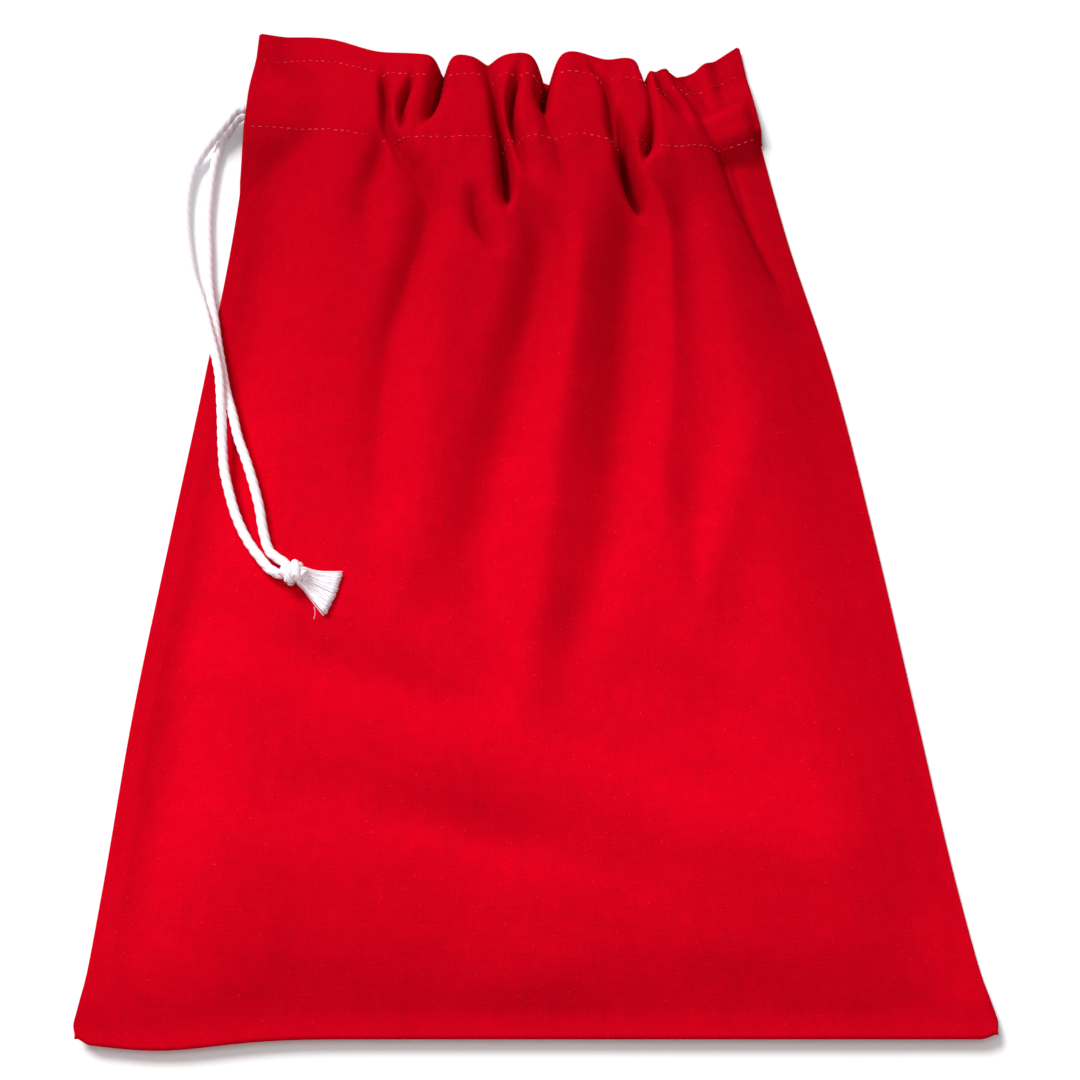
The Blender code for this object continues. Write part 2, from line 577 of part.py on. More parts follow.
def tassel():
    """The frayed end, as one flat fan that starts at the knot."""
    ahead = np.linspace(0, 1, TASSEL_RINGS)
    breadth = TASSEL_NECK + (TASSEL_SPREAD - TASSEL_NECK) * ahead ** TASSEL_FLARE
    height = TASSEL_THICK / 2 * (1 - TASSEL_THIN * ahead)
    turn = np.arange(TASSEL_SIDES) * 2 * math.pi / TASSEL_SIDES
    along = KNOT[0] / 2 + GAP + TASSEL_LENGTH * ahead
    x = np.repeat(along[:, None], TASSEL_SIDES, 1)
    y = breadth[:, None] * np.cos(turn)
    z = height[:, None] * np.sin(turn)
    points = np.stack([x, y, z], -1).reshape(-1, 3)
    ids = np.arange(len(points)).reshape(TASSEL_RINGS, TASSEL_SIDES)
    faces = []
    for ring in range(TASSEL_RINGS - 1):
        for k in range(TASSEL_SIDES):
            after = (k + 1) % TASSEL_SIDES
            faces.append((ids[ring, k], ids[ring, after], ids[ring + 1, after], ids[ring + 1, k]))
    faces.append(tuple(ids[0, ::-1]))
    faces.append(tuple(ids[-1]))
    mesh = bpy.data.meshes.new("cord_tassel")
    mesh.from_pydata([tuple(p) for p in points.tolist()], [],
                     [tuple(int(k) for k in f) for f in faces])
    mesh.materials.append(WHITE_COTTON)
    made = bpy.data.objects.new("cord_tassel", mesh)
    bpy.context.scene.collection.objects.link(made)
    made.location = KNOT_AT
    made.rotation_euler = (0, TASSEL_DROOP, KNOT_TURN)
    return made


def build():
    """The whole pouch."""
    for old in list(bpy.data.objects):
        bpy.data.objects.remove(old, do_unlink=True)
    front_panel()
    back_panel()
    cord("drawcord_in_channel", channel_route())
    cord("drawcord_upper_strand", smooth_line(UPPER_STRAND, CORD_STEP))
    cord("drawcord_lower_strand", smooth_line(LOWER_STRAND, CORD_STEP))
    knot()
    tassel()


build()
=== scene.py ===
"""Drawstring pouch of red cotton, lying flat and empty on its back, dressed on its frame.

Lengths are in metres and places are in the frame's own axes: +X to the right and +Y to the mouth
as the front is looked at, +Z up, with the origin under the middle of the pouch.
"""

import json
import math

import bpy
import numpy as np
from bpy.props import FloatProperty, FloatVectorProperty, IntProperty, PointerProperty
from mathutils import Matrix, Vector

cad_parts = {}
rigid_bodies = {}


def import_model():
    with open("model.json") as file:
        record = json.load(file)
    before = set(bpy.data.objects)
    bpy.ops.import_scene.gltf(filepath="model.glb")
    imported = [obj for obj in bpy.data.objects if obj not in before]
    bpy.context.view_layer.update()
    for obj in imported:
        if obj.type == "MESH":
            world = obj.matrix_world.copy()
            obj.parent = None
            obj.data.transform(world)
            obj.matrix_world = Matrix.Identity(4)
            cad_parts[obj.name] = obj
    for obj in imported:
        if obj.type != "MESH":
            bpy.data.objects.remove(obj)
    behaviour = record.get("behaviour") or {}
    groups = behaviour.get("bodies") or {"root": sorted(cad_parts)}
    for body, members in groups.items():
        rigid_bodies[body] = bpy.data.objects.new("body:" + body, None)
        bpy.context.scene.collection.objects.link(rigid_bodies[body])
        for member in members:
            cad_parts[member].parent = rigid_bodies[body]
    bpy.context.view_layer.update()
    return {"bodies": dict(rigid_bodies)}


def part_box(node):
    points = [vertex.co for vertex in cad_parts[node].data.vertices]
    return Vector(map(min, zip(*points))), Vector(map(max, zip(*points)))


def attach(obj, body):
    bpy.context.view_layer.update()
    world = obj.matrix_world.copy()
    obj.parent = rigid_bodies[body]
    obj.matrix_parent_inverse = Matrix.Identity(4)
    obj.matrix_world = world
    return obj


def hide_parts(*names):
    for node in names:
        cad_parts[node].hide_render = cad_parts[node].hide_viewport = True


bl_info = {
    "name": "Drawstring Pouch",
    "version": (1, 0, 0),
    "blender": (4, 5, 0),
    "location": "3D View > Sidebar > Pouch",
    "description": "Dresses the frame of a cotton drawstring pouch with cloth, cord and stitches",
    "category": "Object",
}

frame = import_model()
ROOT = next(iter(frame["bodies"]))
MM = 0.001

# The sides, from the bottom up: height share, and the share of the taper reached there
LEFT_SIDE = ((0, 0), (0.13, 0.13), (0.27, 0.25), (0.435, 0.46), (0.6, 0.68), (0.765, 0.87),
             (0.87, 0.94), (1, 1))
RIGHT_SIDE = ((0, 0), (0.13, 0.14), (0.27, 0.26), (0.435, 0.40), (0.6, 0.56), (0.765, 0.78),
              (0.87, 0.89), (1, 1))
# How the mouth edge dips from left to right: place across, share of the full dip
DIP = ((0, 0), (0.14, 0.24), (0.25, 0.66), (0.37, 0.96), (0.5, 1), (0.6, 1), (0.655, 0.96),
       (0.72, 1.09), (0.775, 1.05), (0.805, 1.2), (0.83, 1.15), (0.86, 1), (0.92, 0.72), (1, 0.27))
# Height share, and how much of the puff and of the gathers' lift in mm there is
PUFF_ALONG = ((0, 1), (0.5, 1), (0.8, 0.86), (0.92, 0.80), (1, 0.46))
LIFT_ALONG = ((0, 0), (0.28, 0), (0.42, 1.8), (0.56, 4.0), (0.72, 6.4), (0.84, 8.2), (0.92, 9.6),
              (1, 12.0))
# Place across, and how much of that lift the gathers have there
LIFT_ACROSS = ((0, 0), (0.16, 0.06), (0.25, 0.30), (0.33, 0.72), (0.42, 0.94), (0.54, 1.04),
               (0.66, 1.0), (0.78, 0.84), (0.87, 0.66), (0.92, 0.46), (0.96, 0.16), (1, 0))

# Each fold is a line down the cloth: height share, place across, depth and half width in mm.
# A higher edge number makes the fold softer.
CREASES = (
    # Left gather
    (1.6, ((1, .266, 0, 1.6), (.972, .266, 1.5, 1.4), (.95, .267, 5, 1.4), (.926, .271, 6, 1.5),
           (.89, .277, 5.5, 2), (.865, .295, 5, 3.6), (.84, .325, 5.2, 4.8), (.805, .352, 5.8, 5.4),
           (.75, .345, 6, 5.2), (.69, .318, 5.4, 5), (.62, .294, 4.8, 5.5), (.55, .288, 4.2, 6),
           (.48, .29, 3.2, 6.5), (.41, .3, 1.8, 7), (.34, .31, 0, 7))),
    # Left gather, outer branch
    (1.8, ((.91, .277, 0, 2.5), (.86, .266, 4, 3.6), (.79, .242, 3.2, 5), (.738, .25, 1.6, 6),
           (.66, .26, 0, 7))),
    # Left gather, inner tuck
    (1.4, ((1, .33, 0, 2), (.968, .325, 1.5, 1.3), (.95, .318, 5, 1.3), (.924, .307, 6, 1.4),
           (.888, .306, 6, 1.6), (.865, .303, 0, 2))),
    # Left notch
    (1.4, ((1, .388, 9, 2), (.983, .384, 10, 1.9), (.938, .371, 9, 2), (.912, .359, 6, 2.1),
           (.89, .344, 2.5, 2.4), (.865, .32, 0, 3))),
    # Middle gather
    (1.4, ((1, .48, 5, 4), (.983, .482, 5.5, 3.2), (.955, .486, 6, 1.8), (.91, .491, 8, 1.6),
           (.875, .497, 12, 1.7), (.845, .5, 13, 1.9), (.81, .501, 11, 2.1), (.784, .5, 6, 2.6),
           (.755, .5, 0, 3))),
    # Middle gather, right side
    (1.4, ((1, .548, 0, 2), (.968, .538, 3, 1.4), (.94, .525, 8, 1.4), (.894, .52, 8.5, 1.5),
           (.87, .527, 6, 2), (.83, .543, 2.5, 3), (.79, .55, 0, 3))),
    # Middle gather, down the body
    (2, ((.83, .5, 0, 4), (.754, .558, 6, 6.5), (.674, .536, 7, 7.5), (.606, .506, 6.8, 8.5),
         (.532, .476, 6.2, 9), (.462, .452, 5, 9.5), (.388, .438, 3.2, 9.5), (.332, .448, 1.8, 8),
         (.25, .475, 0, 7))),
    # Small tuck
    (1.6, ((.815, .44, 0, 3), (.782, .443, 4, 3), (.737, .464, 4.5, 3.2), (.7, .51, 0, 3))),
    # Deep notch
    (1.5, ((1, .6, 15, 2.8), (.979, .596, 15, 2.4), (.944, .585, 13, 2), (.91, .586, 5, 2.2),
           (.884, .594, 3.5, 2.6), (.826, .611, 2, 3.5), (.78, .63, 0, 4))),
    # Right gather, thin fold
    (1.4, ((1, .685, 0, 1.8), (.985, .69, 1.5, 1.5), (.958, .711, 4, 1.5), (.917, .713, 6, 1.6),
           (.87, .715, 8, 2), (.84, .722, 0, 2.4))),
    # Right gather
    (1.5, ((.925, .722, 0, 1.6), (.9, .725, 7, 1.7), (.872, .727, 13, 2), (.844, .727, 15, 2.3),
           (.814, .732, 14, 2.7), (.785, .741, 11, 3), (.75, .755, 0, 3))),
    # Right gather, down the body
    (2, ((.84, .72, 0, 5), (.765, .725, 8, 8.5), (.7, .703, 9, 9.5), (.616, .676, 8.8, 9.5),
         (.51, .645, 7.4, 9), (.436, .625, 4.9, 8.5), (.364, .59, 2.4, 8.5), (.316, .555, 1, 8),
         (.25, .53, 0, 8))),
    # Tuck beside it
    (1.4, ((1, .797, 8, 1.1), (.975, .8, 4, 1.1), (.93, .797, 3, 1.2), (.9, .79, 5, 1.3),
           (.874, .778, 8, 1.5), (.846, .763, 4, 2), (.82, .755, 0, 2))),
    # Right hollow
    (2, ((.86, .8, 0, 6), (.8, .82, 5, 6), (.745, .815, 4.4, 7), (.668, .795, 3.6, 8),
         (.61, .79, 2.8, 9), (.53, .77, 2.2, 9), (.45, .74, 1.6, 7), (.39, .727, 0, 5))),
    # Flap fold
    (1.4, ((1, .822, 1.2, 2), (.966, .834, 5, 1.7), (.923, .857, 4, 1.7), (.88, .872, 0, 2))),
    # Long right crease
    (1.4, ((1, .85, 1.2, 2.4), (.96, .876, 6, 2), (.92, .902, 8, 2.2), (.874, .922, 8, 2.4),
           (.844, .928, 7, 2.4), (.793, .936, 5, 2.4), (.759, .945, 3.5, 2.4), (.71, .958, 2, 2.2),
           (.66, .972, 0, 2))),
)
RIDGES = (
    # Main ridge
    (2, ((.8, .635, 0, 5), (.727, .615, 2, 5.5), (.628, .585, 2.4, 6.5), (.524, .553, 2.8, 7),
         (.428, .536, 3, 7), (.338, .518, 2.6, 7.5), (.27, .503, 1.8, 9), (.2, .494, 0, 11))),
    # Left ridge
    (2, ((.78, .4, 0, 8), (.7, .385, 1.6, 8), (.576, .37, 2.2, 9), (.47, .358, 2.4, 10),
         (.4, .35, 2, 11), (.345, .34, 0, 11))),
    # Right ridge
    (2, ((.78, .76, 0, 6), (.72, .752, .8, 6), (.62, .722, .9, 7), (.51, .7, 1.1, 6.5),
         (.43, .7, 1.5, 6), (.37, .712, 1.5, 6), (.33, .726, .9, 6), (.28, .735, 0, 6))),
    # Right ridge, upper arm
    (2, ((.6, .9, 0, 9), (.524, .84, 1.2, 8), (.454, .795, 1.6, 7), (.394, .76, 1.6, 6),
         (.334, .73, 1.2, 6), (.28, .735, 0, 6))),
)
# Broad rises and hollows of the body: height share, place across, height in mm, reach along
# and reach across in mm, and how far the line drops along for each mm across
BROAD = (
    (.222, .46, 3.2, 13, 125, .33),
    (.162, .49, -2.6, 12, 44, .23),
    (.30, .30, -1.6, 14, 40, .3),
    (.37, .21, -1.2, 18, 26, .2),
    (.30, .66, -1.4, 13, 22, .3),
    (.17, .86, 1.0, 24, 22, .3),
    (.38, .93, -0.8, 24, 22, 0),
    (.044, .27, -1.1, 9, 34, 0),
    (.042, .73, -1.2, 9, 32, 0),
    (.065, .51, 0.9, 12, 20, 0),
)
# Puckers beside the upper stitching, the lower stitching and the bottom seam: wave length,
# height and reach in mm
PUCKERS = ((6.5, .22, 5), (7.5, .22, 6), (9, .05, 9))
# Right of this line, the mouth's flap lies lower: height share, and place across
FLAP = ((1, .845), (.96, .874), (.92, .900), (.874, .920), (.844, .928), (.793, .936), (.70, .96))

# The free strands: from the slit in the left seam, out over the surface beside the pouch, back over
# its edge, and to the knot on the front. Points listed, in metres.
UPPER_STRAND = (
    (-0.0980, 0.1360, 0.0062), (-0.0998, 0.1359, 0.0062), (-0.1042, 0.1305, 0.0056),
    (-0.1080, 0.1252, 0.0045), (-0.1114, 0.1206, 0.0028), (-0.1143, 0.1148, 0.0018),
    (-0.1155, 0.1072, 0.0017), (-0.1155, 0.0972, 0.0017), (-0.1147, 0.0898, 0.0017),
    (-0.1134, 0.0824, 0.0018), (-0.1109, 0.0717, 0.0023), (-0.1084, 0.0648, 0.0034),
    (-0.1058, 0.0575, 0.0054), (-0.1034, 0.0495, 0.0074), (-0.1006, 0.0401, 0.0094),
    (-0.0985, 0.0320, 0.0109), (-0.0971, 0.0232, 0.0120), (-0.0962, 0.0146, 0.0113),
    (-0.0954, 0.0059, 0.0106), (-0.0942, -0.0020, 0.0110), (-0.0919, -0.0104, 0.0123),
    (-0.0891, -0.0186, 0.0135), (-0.0851, -0.0266, 0.0144), (-0.0810, -0.0324, 0.0151),
    (-0.0777, -0.0362, 0.0154), (-0.0751, -0.0377, 0.0158),
)
LOWER_STRAND = (
    (-0.0980, 0.1360, 0.0023), (-0.0998, 0.1359, 0.0022), (-0.1033, 0.1315, 0.0018),
    (-0.1058, 0.1260, 0.0017), (-0.1071, 0.1203, 0.0017), (-0.1079, 0.1139, 0.0017),
    (-0.1082, 0.1075, 0.0017), (-0.1083, 0.0988, 0.0017), (-0.1078, 0.0898, 0.0017),
    (-0.1070, 0.0824, 0.0017), (-0.1060, 0.0717, 0.0019), (-0.1049, 0.0650, 0.0027),
    (-0.1030, 0.0566, 0.0035), (-0.1008, 0.0459, 0.0049), (-0.0984, 0.0357, 0.0068),
    (-0.0960, 0.0261, 0.0087), (-0.0931, 0.0171, 0.0104), (-0.0906, 0.0084, 0.0119),
    (-0.0873, -0.0002, 0.0134), (-0.0845, -0.0084, 0.0143), (-0.0822, -0.0163, 0.0149),
    (-0.0804, -0.0245, 0.0151), (-0.0783, -0.0303, 0.0152), (-0.0735, -0.0345, 0.0161),
)
BRIDGE = (-0.034, 0.034)  # between these Y the strands stand a little off the cloth
# The knot and the frayed end lie where their solids are, and point this way on the front
KNOT_LOW, KNOT_HIGH = (np.array(corner, float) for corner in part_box("cord_knot"))
KNOT_AT = (KNOT_LOW + KNOT_HIGH) / 2
KNOT_TURN = math.radians(-20)

# Where a panel's rows, counted along the cloth, and its columns lie closer: place, and how
# closely they lie after it
ROW_STOPS = ((0, 9), (0.02, 3), (0.6, 6), (0.74, 10), (1, 0))
COLUMN_STOPS = ((0, 4), (0.03, 1.2), (0.21, 5), (0.96, 2), (1, 0))
ROWS, HEM_ROWS, COLUMNS = 170, 26, 225
# The angles, in degrees, at which the grid follows a turned edge and the turned mouth
EDGE_TURNS, MOUTH_TURNS = (90, 65, 40, 18), (35, 75, 105, 145)

# The knot's core: where it starts and ends and how far it waves, in mm, and its radius against
# the cord's thickness
CORE_ENDS, CORE_WAVE, CORE_SHARE = (-3.4, 3.6), 0.35, 0.72
# The knot's wraps: slant in degrees, radius and height in mm, shift along the axis in mm, place
# ahead in mm, radius of the strand against the cord's thickness, and where its twist starts
WRAPS = (
    (-34, 2.55, 1.95, -1.15, 0, .43, 0), (-34, 2.55, 1.95, 1.15, 0, .43, 1.3),
    (38, 2.45, 1.55, -.95, .2, .4085, .6), (38, 2.45, 1.55, 1.05, .2, .4085, 2.1),
)
FIBRE_POINTS, FIBRE_SIDES = 10, 4  # along each fibre of the frayed end, and round it

# The rows of stitches: their ends' share of the width, the uneven places of the stitches, and
# each stitch's arch in thicknesses of the thread
ROW_FROM, ROW_POINTS, STITCH_JITTER, STITCH_POINTS = 0.012, 4000, 0.06 * MM, 7
ARCH, ARCH_EDGE, ARCH_SUNK = 0.95, 0.6, 0.55

# The cloth's threads, the range of its red, and the small marks' colours; the slubs' lighter red is
# painted sheen
THREAD_TURN = math.pi / 0.42
RED_RANGE, SHEEN_LIGHT, SHEEN_PINK = (0.66, 1.16), 1.28, (0.018, 0.050)
NEP_COLOUR, FIBRE_PINK, DIM_THREAD = (0.93, 0.15, 0.19), (0.98, 0.80, 0.88), (0.74, 0.02, 0.05)


def length_prop(name, description, default_mm):
    """A length in metres with its default given in mm."""
    return FloatProperty(name=name, description=description, default=default_mm * MM,
                         min=0, unit="LENGTH")


def factor_prop(name, description, default):
    """A plain number without a unit."""
    return FloatProperty(name=name, description=description, default=default)


def angle_prop(name, description, degrees):
    """An angle in radians with its default given in degrees."""
    return FloatProperty(name=name, description=description, default=math.radians(degrees),
                         subtype="ANGLE")


def place_prop(name, description, default):
    """A place in metres."""
    return FloatVectorProperty(name=name, description=description, default=default,
                               unit="LENGTH", size=3)


def colour_prop(name, description, default):
    """A linear colour."""
    return FloatVectorProperty(name=name, description=description, default=default,
                               subtype="COLOR", size=3, min=0, max=1)


class PouchCloth(bpy.types.PropertyGroup):
    """Sizes and colours of the two panels."""
    width: length_prop("Width", "Bottom seam, side to side", 250)
    length: length_prop("Length", "Bottom seam to the mouth edge, along the cloth", 339)
    left_taper: length_prop("Left taper", "How far the left side has come in at the mouth", 29)
    right_taper: length_prop("Right taper", "How far the right side has come in", 55.5)
    thick: length_prop("Cloth", "Thickness of one layer of cotton", 0.45)
    layer: length_prop("Layer", "Room that one layer takes in the stack", 0.5)
    gap: length_prop("Gap", "Room between layers that touch", 0.3)
    corner: length_prop("Corner", "Rounding of the two bottom corners", 4)
    bottom_bow: length_prop("Bottom bow", "How far the bottom seam bows out on the left", 3)
    seam: length_prop("Seam", "The panels lie face to face this far in from their edges", 2)
    seam_round: length_prop("Seam rounding", "Radius of the turned edges at the seams", 0.62)
    header: length_prop("Header", "Doubled cloth above the upper stitching", 11)
    channel: length_prop("Channel", "Between the two rows of stitching", 32)
    stitch_band: length_prop("Stitch band", "Over which stitching closes the channel", 2)
    cord_line: length_prop("Cord line", "The cord's line above the lower stitching", 8)
    slit_depth: length_prop("Slit depth", "The lining starts this far in from the slit", 10)
    mouth_dip: length_prop("Mouth dip", "How far the gathers draw the mouth edge down", 22)
    dip_start: length_prop("Dip start", "The gathers draw nothing in below this height", 190)
    mouth_room: length_prop("Mouth room", "Height of the way left open through the mouth", 4.5)
    puff: length_prop("Puff", "The front stands this far over the seams", 12.3)
    side_rise: length_prop("Side rise", "It climbs to that over this much from a side", 38)
    bottom_rise: length_prop("Bottom rise", "It climbs to that over this much", 54)
    edge_curl: length_prop("Edge curl", "The bottom seam stands off the surface by this", 3.6)
    back_pleat: length_prop("Back pleat", "The back's pleats stand this high", 2.4)
    back_pleats: IntProperty(name="Back pleats", description="Pleats across the back's neck",
                             default=13, min=1)
    red: colour_prop("Red", "The cotton's colour", (0.603, 0.0005, 0.0105))


class PouchCord(bpy.types.PropertyGroup):
    """Sizes and colours of the cord."""
    diameter: length_prop("Diameter", "Thickness of the cord", 3)
    lay: length_prop("Lay", "Length of cord over which a ply goes once round", 11)
    plies: IntProperty(name="Plies", description="Strands twisted together", default=3, min=2)
    groove: factor_prop("Groove", "Depth of the grooves between plies, as a share", 0.15)
    turn_in: length_prop("Turn", "Centre of the cord's turn, in from the right seam", 7.2)
    upper_length: length_prop("Upper strand", "Length of the upper strand", 190)
    lower_length: length_prop("Lower strand", "Length of the lower strand", 181)
    lift: length_prop("Lift", "The free strands bridge the cloth by this", 1.3)
    white: colour_prop("White", "The cord's colour", (1.0, 0.95, 0.985))
    # Painted shade: the colour between the plies stands for the shade in the grooves.
    hollow_shade: colour_prop("Grooves", "The cord's colour between its plies", (0.86, 0.74, 0.85))
    tassel_length: length_prop("Tassel", "Length of the frayed end", 10.7)
    fibres: IntProperty(name="Fibres", description="Fibres of the frayed end", default=700)


class PouchStitches(bpy.types.PropertyGroup):
    """Sizes and colour of the sewing thread."""
    pitch: length_prop("Pitch", "From stitch to stitch", 2.45)
    share: factor_prop("Share", "Share of the pitch that the thread shows", 0.44)
    thread: length_prop("Thread", "Thickness of the thread", 0.21)
    colour: colour_prop("Colour", "The thread's colour", (0.90, 0.17, 0.22))


class PouchStage(bpy.types.PropertyGroup):
    """Camera, lights and floor."""
    lens: factor_prop("Lens", "Focal length in mm", 60)
    tilt: angle_prop("Tilt", "The camera's tilt from straight down", 24.02)
    camera: place_prop("Camera", "The camera's place", (0.0012, -0.2428, 0.5004))
    key: factor_prop("Key light", "Strength of the far light at the upper left", 2.95)
    key_from: place_prop("Key from", "The key light comes from over here", (-0.39, 0.50, 0.65))
    key_width: angle_prop("Key width", "How wide the key light is seen", 26)
    fill: factor_prop("Fill light", "Power of the soft light over the lower end, in watts", 0.85)
    fill_at: place_prop("Fill place", "The fill light's place", (-0.03, -0.19, 0.56))
    fill_size: length_prop("Fill size", "Side of the fill light", 340)
    sky: factor_prop("Sky", "Strength of the even light from all round", 0.29)
    floor: colour_prop("Floor", "The floor's colour", (0.98, 0.98, 0.983))


def flow(at, table, column=1):
    """A smooth curve through a table's few values: cubic pieces whose slopes come from their
    neighbours."""
    order = np.argsort([row[0] for row in table])
    place = np.array([table[k][0] for k in order], float)
    value = np.array([table[k][column] for k in order], float)
    slope = np.gradient(value, place)
    k = np.clip(np.searchsorted(place, at) - 1, 0, len(place) - 2)
    run = place[k + 1] - place[k]
    u = np.clip((at - place[k]) / run, 0, 1)
    return (value[k] * (1 + 2 * u) * (1 - u) ** 2 + slope[k] * run * u * (1 - u) ** 2
            + value[k + 1] * u * u * (3 - 2 * u) + slope[k + 1] * run * u * u * (u - 1))


def ramp(at, low, high):
    """0 up to low, 1 from high on, and straight between them."""
    return np.clip((at - low) / (high - low), 0, 1)


def eased(share):
    """A share from 0 to 1 that starts and ends level."""
    return share * share * (3 - 2 * share)


def bell(off, width):
    """A Gaussian bump: 1 where off is 0, and 1/e where it is the width."""
    return np.exp(-(off / width) ** 2)


def lengths(line):
    """How far along a line each of its points lies."""
    return np.concatenate([[0], np.cumsum(np.linalg.norm(np.diff(line, axis=0), axis=1))])


def unit(vectors):
    """The same directions, each of length 1."""
    return vectors / np.maximum(np.linalg.norm(vectors, axis=-1, keepdims=True), 1e-12)


def higher(one, other, soft):
    """The higher of two surfaces, rounded over a height of about soft where they cross."""
    return 0.5 * (one + other + np.sqrt((one - other) ** 2 + soft * soft))


class Lie:
    """How the cloth lies. across is a share from the left side to the right one, and up is the
    height along the cloth from the bottom seam. The values below are the places and reaches of
    its rules, and the exponents that shape their fades."""

    bow_at = 0.09
    dip_edge = 1.45
    rise_start, rise_edge = 1.5, 2.2
    room_at, room_flat, room_ramp = 0.645, 4.5 * MM, 22 * MM
    cord_fade = 9 * MM
    cord_soft = 3 * MM
    slit_fade, slit_reach = 9 * MM, 30 * MM
    fold_fade, fold_lead = 0.06, 4
    draw_in = 0.28
    flap_from, flap_edge, flap_lift, flap_puff = 0.72, 5 * MM, 0.95, 0.55
    ripples, ripple_size, ripple_short, ripple_long = 16, 0.0016, 12, 60
    pucker_drift, drift_wave = 2.2, 37 * MM
    crinkle_at, crinkle_reach = (-58 * MM, 6 * MM), (19 * MM, 5.5 * MM)
    crinkle_wave, crinkle_slant, crinkle_height = 5.2 * MM, 2.4, 0.22 * MM
    curl_reach = 10 * MM
    lining_sag = 0.55
    gathered = (0.225, 0.955)
    pleats_from, pleats_full, pleats_edge, pleats_fade = 0.60, 0.82, 1.3, 4.5 * MM
    soft = 0.8 * MM
    turned_low, turned_high, turned_room = 0.3 * MM, 1.1 * MM, 0.02 * MM
    bottom_inset, mouth_fold_room, steepest = 20 * MM, 0.1 * MM, 2

    def __init__(self, cloth, cord):
        self.cloth, self.cord = cloth, cord
        self.upper = cloth.length - cloth.header
        self.lower = self.upper - cloth.channel
        self.cord_row = self.lower + cloth.cord_line
        self.cord_r = cord.diameter / 2
        self.cord_clear = self.cord_r + 2 * MM
        layer, gap = cloth.layer, cloth.gap
        self.back_cord = layer + gap + self.cord_r
        self.back_lining = self.back_cord + self.cord_r + gap
        self.front_cord = self.back_lining + 2 * layer + 2 * gap + self.cord_r
        self.slit_cord = self.back_cord + cord.diameter + 3 * gap
        self.seam_top = 2 * layer + gap
        low, high = (np.array(corner, float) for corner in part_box("back_panel"))
        outline = self.lay(*np.meshgrid(np.linspace(0, 1, 60), np.linspace(0, cloth.length, 60)))
        self.middle = [(line.min() + line.max()) / 2 - (a + b) / 2
                       for line, a, b in zip(outline, low, high)]

    def sides(self, up):
        """The left and right edges' X: the half width, less each side's taper."""
        share = up / self.cloth.length
        return (self.cloth.left_taper * flow(share, LEFT_SIDE) - self.cloth.width / 2,
                self.cloth.width / 2 - self.cloth.right_taper * flow(share, RIGHT_SIDE))

    def neck(self, up):
        """The width between the two edges."""
        left, right = self.sides(up)
        return right - left

    def lay(self, across, up):
        """X and Y of a point of the cloth: across between the two sides, up along the cloth less
        the dip of the gathered mouth and the bottom's bow, with the two corners rounded."""
        cloth = self.cloth
        left, right = self.sides(up)
        drawn = ramp(up, cloth.dip_start, cloth.length)
        bow = bell(across - self.bow_at, self.bow_at) * ramp(up, cloth.bottom_rise, 0)
        x = left + across * (right - left)
        y = up - cloth.mouth_dip * drawn ** self.dip_edge * flow(across, DIP) - cloth.bottom_bow * bow
        near = np.minimum(x - left, right - x)
        corner = ramp(near, cloth.corner, 0) * ramp(up, cloth.corner, 0)
        inward = (1 - math.sqrt(0.5)) * cloth.corner * corner
        return x + np.sign(0.5 - across) * inward, y + inward

    def climb(self, distance, reach):
        """0 in the seam and 1 from reach onwards, level in the seam, then steep, then level."""
        run = ramp(distance, self.cloth.seam, reach)
        return 1 - (1 - run ** self.rise_start) ** self.rise_edge

    def swell(self, up):
        """0 in the bottom seam and 1 from the bottom rise onwards, level at both ends."""
        return eased(ramp(up, self.cloth.seam, self.cloth.bottom_rise))

    def folds(self, table, across, up):
        """How deep a table's folds are: each is depth * exp(-|off / half width| ^ edge), and
        where folds meet, the deeper one leads."""
        share = up / self.cloth.length
        total = np.zeros(np.broadcast(across, up).shape)
        for edge, line in table:
            low, high = min(row[0] for row in line), max(row[0] for row in line)
            depth = np.maximum(flow(share, line, 2), 0) * MM * (share <= high)
            depth = depth * eased(ramp(share, low, low + self.fold_fade))
            off = (across - flow(share, line, 1)) * self.neck(up)
            slant = np.abs(off) / (flow(share, line, 3) * MM)
            total += (depth * np.exp(-slant ** edge)) ** self.fold_lead
        return total ** (1 / self.fold_lead)

    def broad(self, across, up):
        """The body's broad rises and hollows: a sum of slanted Gaussian bumps."""
        total = 0
        for share, place, height, along, over, drop in BROAD:
            dx = (across - place) * self.neck(up)
            dy = up - share * self.cloth.length + drop * dx
            total = total + height * MM * bell(dx, over * MM) * bell(dy, along * MM)
        return total

    def ripple(self, across, up):
        """Slight unevenness of unpressed cotton: a sum of seeded plane waves."""
        chance = np.random.default_rng(7)
        x, y = self.lay(across, up)
        total = 0
        for _ in range(self.ripples):
            wave = chance.uniform(self.ripple_short, self.ripple_long) * MM
            turn = chance.uniform(0, math.pi)
            phase = chance.uniform(0, 2 * math.pi)
            total = total + wave * np.cos((x * math.cos(turn) + y * math.sin(turn))
                                          * 2 * math.pi / wave + phase)
        return total * self.ripple_size

    def puckers(self, across, up):
        """Small puckers beside the stitching and the bottom seam: waves across, fading out, and
        a crinkled place at the seam's left."""
        x, _ = self.lay(across, up)
        round_x = x * 2 * math.pi
        drift = self.pucker_drift * np.sin(round_x / self.drift_wave)
        total = 0
        for row, (wave, height, reach) in zip((self.upper, self.lower, 0), PUCKERS):
            waves = np.cos(round_x / (wave * MM) + drift)
            total = total + height * MM * waves * bell(up - row, reach * MM)
        place = bell(x - self.crinkle_at[0], self.crinkle_reach[0])
        place = place * bell(up - self.crinkle_at[1], self.crinkle_reach[1])
        slant = (x + self.crinkle_slant * up) * 2 * math.pi / self.crinkle_wave
        return total + self.crinkle_height * np.sin(slant) * place

